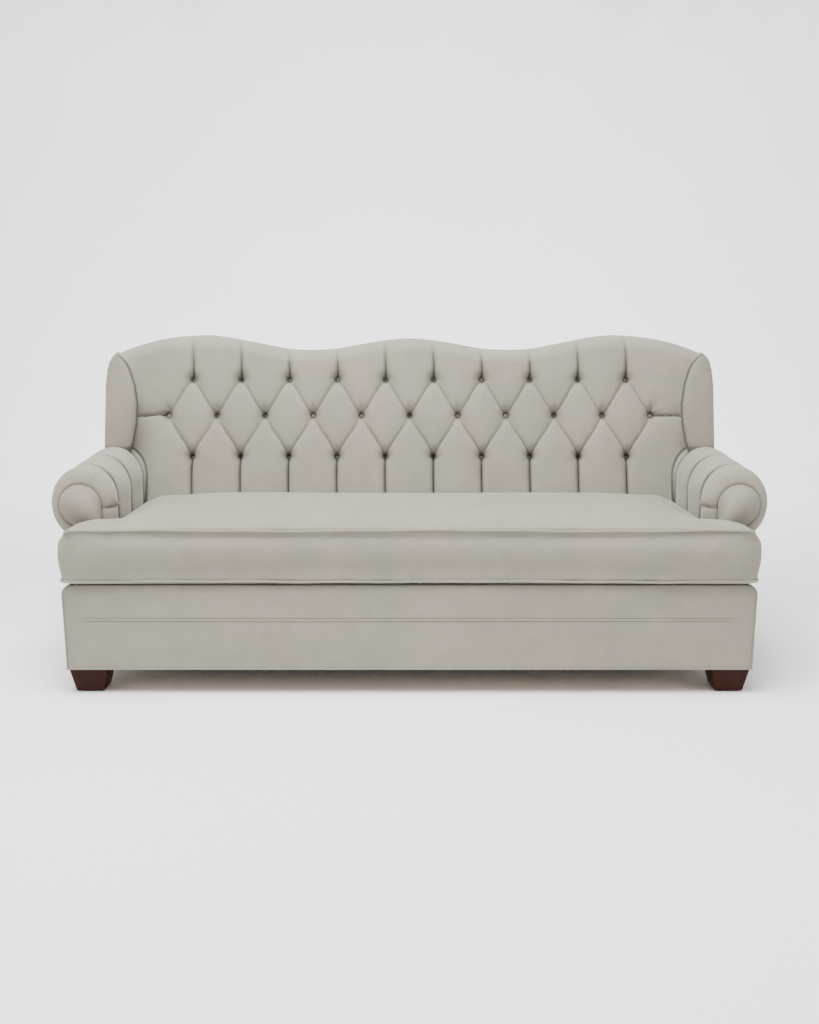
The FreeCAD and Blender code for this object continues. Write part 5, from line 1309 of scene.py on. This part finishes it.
class SOFA_OT_finishes(bpy.types.Operator):
    """Give the wooden and steel pieces their finishes"""

    bl_idname = "sofa.finishes"
    bl_label = "Wood and steel"

    def execute(self, context):
        tints = settings("sofa_finishes")
        steel = metal("satin_black_steel", tints.steel, (0.35, 0.35, 0.35), 0.5, 0.36, 0.4)
        by_slot = {
            "frame_wood": wood("raw_pine", tints.pine, 1.35, 0.62),
            "lining": cloth("lining_cloth", tints.lining, 1.2, 0.3),
            "glide_plastic": metal("black_nylon", tints.black, (0.1, 0.1, 0.1), 0.4, 0.42, 0.0),
            "leg_rubber": metal("black_rubber", tints.black, (0.08, 0.08, 0.08), 0.3, 0.7, 0.0),
            "zinc_steel": metal("zinc_plate", tints.zinc, (0.3, 0.3, 0.29), 0.4, 0.3, 0.95),
            "link_steel": steel,
            "frame_steel": metal("satin_grey_steel", [part * 1.6 for part in tints.steel],
                                 (0.4, 0.4, 0.4), 0.4, 0.34, 0.5),
            "deck_cloth": cloth("deck_strap", tints.strap, 3.0, 0.3),
        }
        for entry in frame["record"]["subparts"]:
            piece = frame["nodes"][entry["node"]]
            if piece.hide_render or entry["material_slot"] not in by_slot:
                continue
            piece.data.materials.clear()
            piece.data.materials.append(by_slot[entry["material_slot"]])
        return {"FINISHED"}


# Stage

TOWARDS_SOFA, TOWARDS_BACKDROP = (0, 0, 0.5), (0, 11, 1.5)
LAMPS = (     # name, place, width, the setting with its power, and what it faces
    ("key", (-0.5, -1.3, 4.2), 2.8, "key", TOWARDS_SOFA),
    ("left_fill", (-4.2, -1.6, 2.0), 2.4, "fill", TOWARDS_SOFA),
    ("right_fill", (4.2, -1.6, 2.0), 2.4, "fill", TOWARDS_SOFA),
    ("rear_fill", (0.5, 4.2, 2.8), 2.4, "fill", TOWARDS_SOFA),
    ("backdrop_wash", (0, 3.4, 5.0), 3.0, "wash", TOWARDS_BACKDROP),
)


class SOFA_OT_stage(bpy.types.Operator):
    """Set the floor, the lights and the camera"""

    bl_idname = "sofa.stage"
    bl_label = "Stage"

    def execute(self, context):
        stage = settings("sofa_stage")
        scene = context.scene
        shape = bmesh.new()
        bmesh.ops.create_grid(shape, x_segments=90, y_segments=90, size=stage.bowl + stage.bend)
        for vert in shape.verts:
            climb = min(max(vert.co.length - stage.bowl, 0), stage.bend)
            vert.co.z = stage.bend - math.sqrt(stage.bend ** 2 - climb ** 2)
        mesh = mesh_of("studio_floor", shape)
        mesh.materials.append(self.floor_paint())
        mesh.shade_smooth()
        placed("studio_floor", mesh)
        world = bpy.data.worlds.new("studio")
        world.use_nodes = True
        sky = world.node_tree.nodes["Background"]
        sky.inputs["Color"].default_value = (1, 1, 1, 1)
        sky.inputs["Strength"].default_value = stage.sky
        scene.world = world
        for name, place, width, power, aim in LAMPS:
            lamp = bpy.data.lights.new(name, "AREA")
            lamp.size = width
            lamp.energy = getattr(stage, power)
            holder = placed(name, lamp)
            holder.location = place
            way = Vector(aim) - Vector(place)
            holder.rotation_euler = way.to_track_quat("-Z", "Y").to_euler()
        lens = bpy.data.cameras.new("camera")
        lens.lens = stage.lens
        lens.sensor_width = 36
        camera = placed("camera", lens)
        camera.location = (0, UPPER_LOW.y - stage.distance, stage.height)
        camera.rotation_euler = (math.pi / 2 - stage.pitch, 0, 0)
        scene.camera = camera
        return {"FINISHED"}

    def floor_paint(self):
        """Plain pale floor, a little uneven."""
        paint = bpy.data.materials.new("pale_floor")
        paint.use_nodes = True
        w = Wiring(paint.node_tree)
        place = w.add("ShaderNodeTexCoord").outputs["Object"]
        tone = w.ranged(w.noise(place, 0.8), 0.9, 0.92)
        surface = paint.node_tree.nodes["Principled BSDF"]
        w.feed(surface, Roughness=0.8)
        paint.node_tree.links.new(w.tint(tone, tone, tone), surface.inputs["Base Color"])
        return paint


class SOFA_PT_panel(bpy.types.Panel):
    """Buttons for each step of the dressing"""

    bl_label = "Sofa Bed"
    bl_idname = "SOFA_PT_panel"
    bl_space_type = "VIEW_3D"
    bl_region_type = "UI"
    bl_category = "Sofa Bed"

    def draw(self, context):
        for step in STEPS:
            self.layout.operator(step.bl_idname, text=step.bl_label)
        for group in GROUPS:
            box = self.layout.box()
            box.label(text=group.removeprefix("sofa_").capitalize())
            values = settings(group)
            for name in values.__annotations__:
                box.prop(values, name)


STEPS = (SOFA_OT_back, SOFA_OT_arms, SOFA_OT_wings, SOFA_OT_cushion, SOFA_OT_base, SOFA_OT_bed,
         SOFA_OT_finishes, SOFA_OT_stage)
GROUPS = {
    "sofa_back": BackSizes, "sofa_arms": ArmSizes, "sofa_wings": WingSizes,
    "sofa_cushion": CushionSizes, "sofa_base": BaseSizes, "sofa_bed": BedSizes,
    "sofa_finishes": Finishes, "sofa_stage": StageSettings,
}


def register():
    """Make the classes and the scene's settings known."""
    for kind in (*GROUPS.values(), *STEPS, SOFA_PT_panel):
        bpy.utils.register_class(kind)
    for name, kind in GROUPS.items():
        setattr(bpy.types.Scene, name, PointerProperty(type=kind))


def unregister():
    """Take the settings and the classes away again."""
    for name in GROUPS:
        delattr(bpy.types.Scene, name)
    for kind in reversed((*GROUPS.values(), *STEPS, SOFA_PT_panel)):
        bpy.utils.unregister_class(kind)


def main():
    """Dress the sofa bed."""
    register()
    for step in STEPS:
        group, name = step.bl_idname.split(".")
        getattr(getattr(bpy.ops, group), name)()


if __name__ == "__main__":
    main()
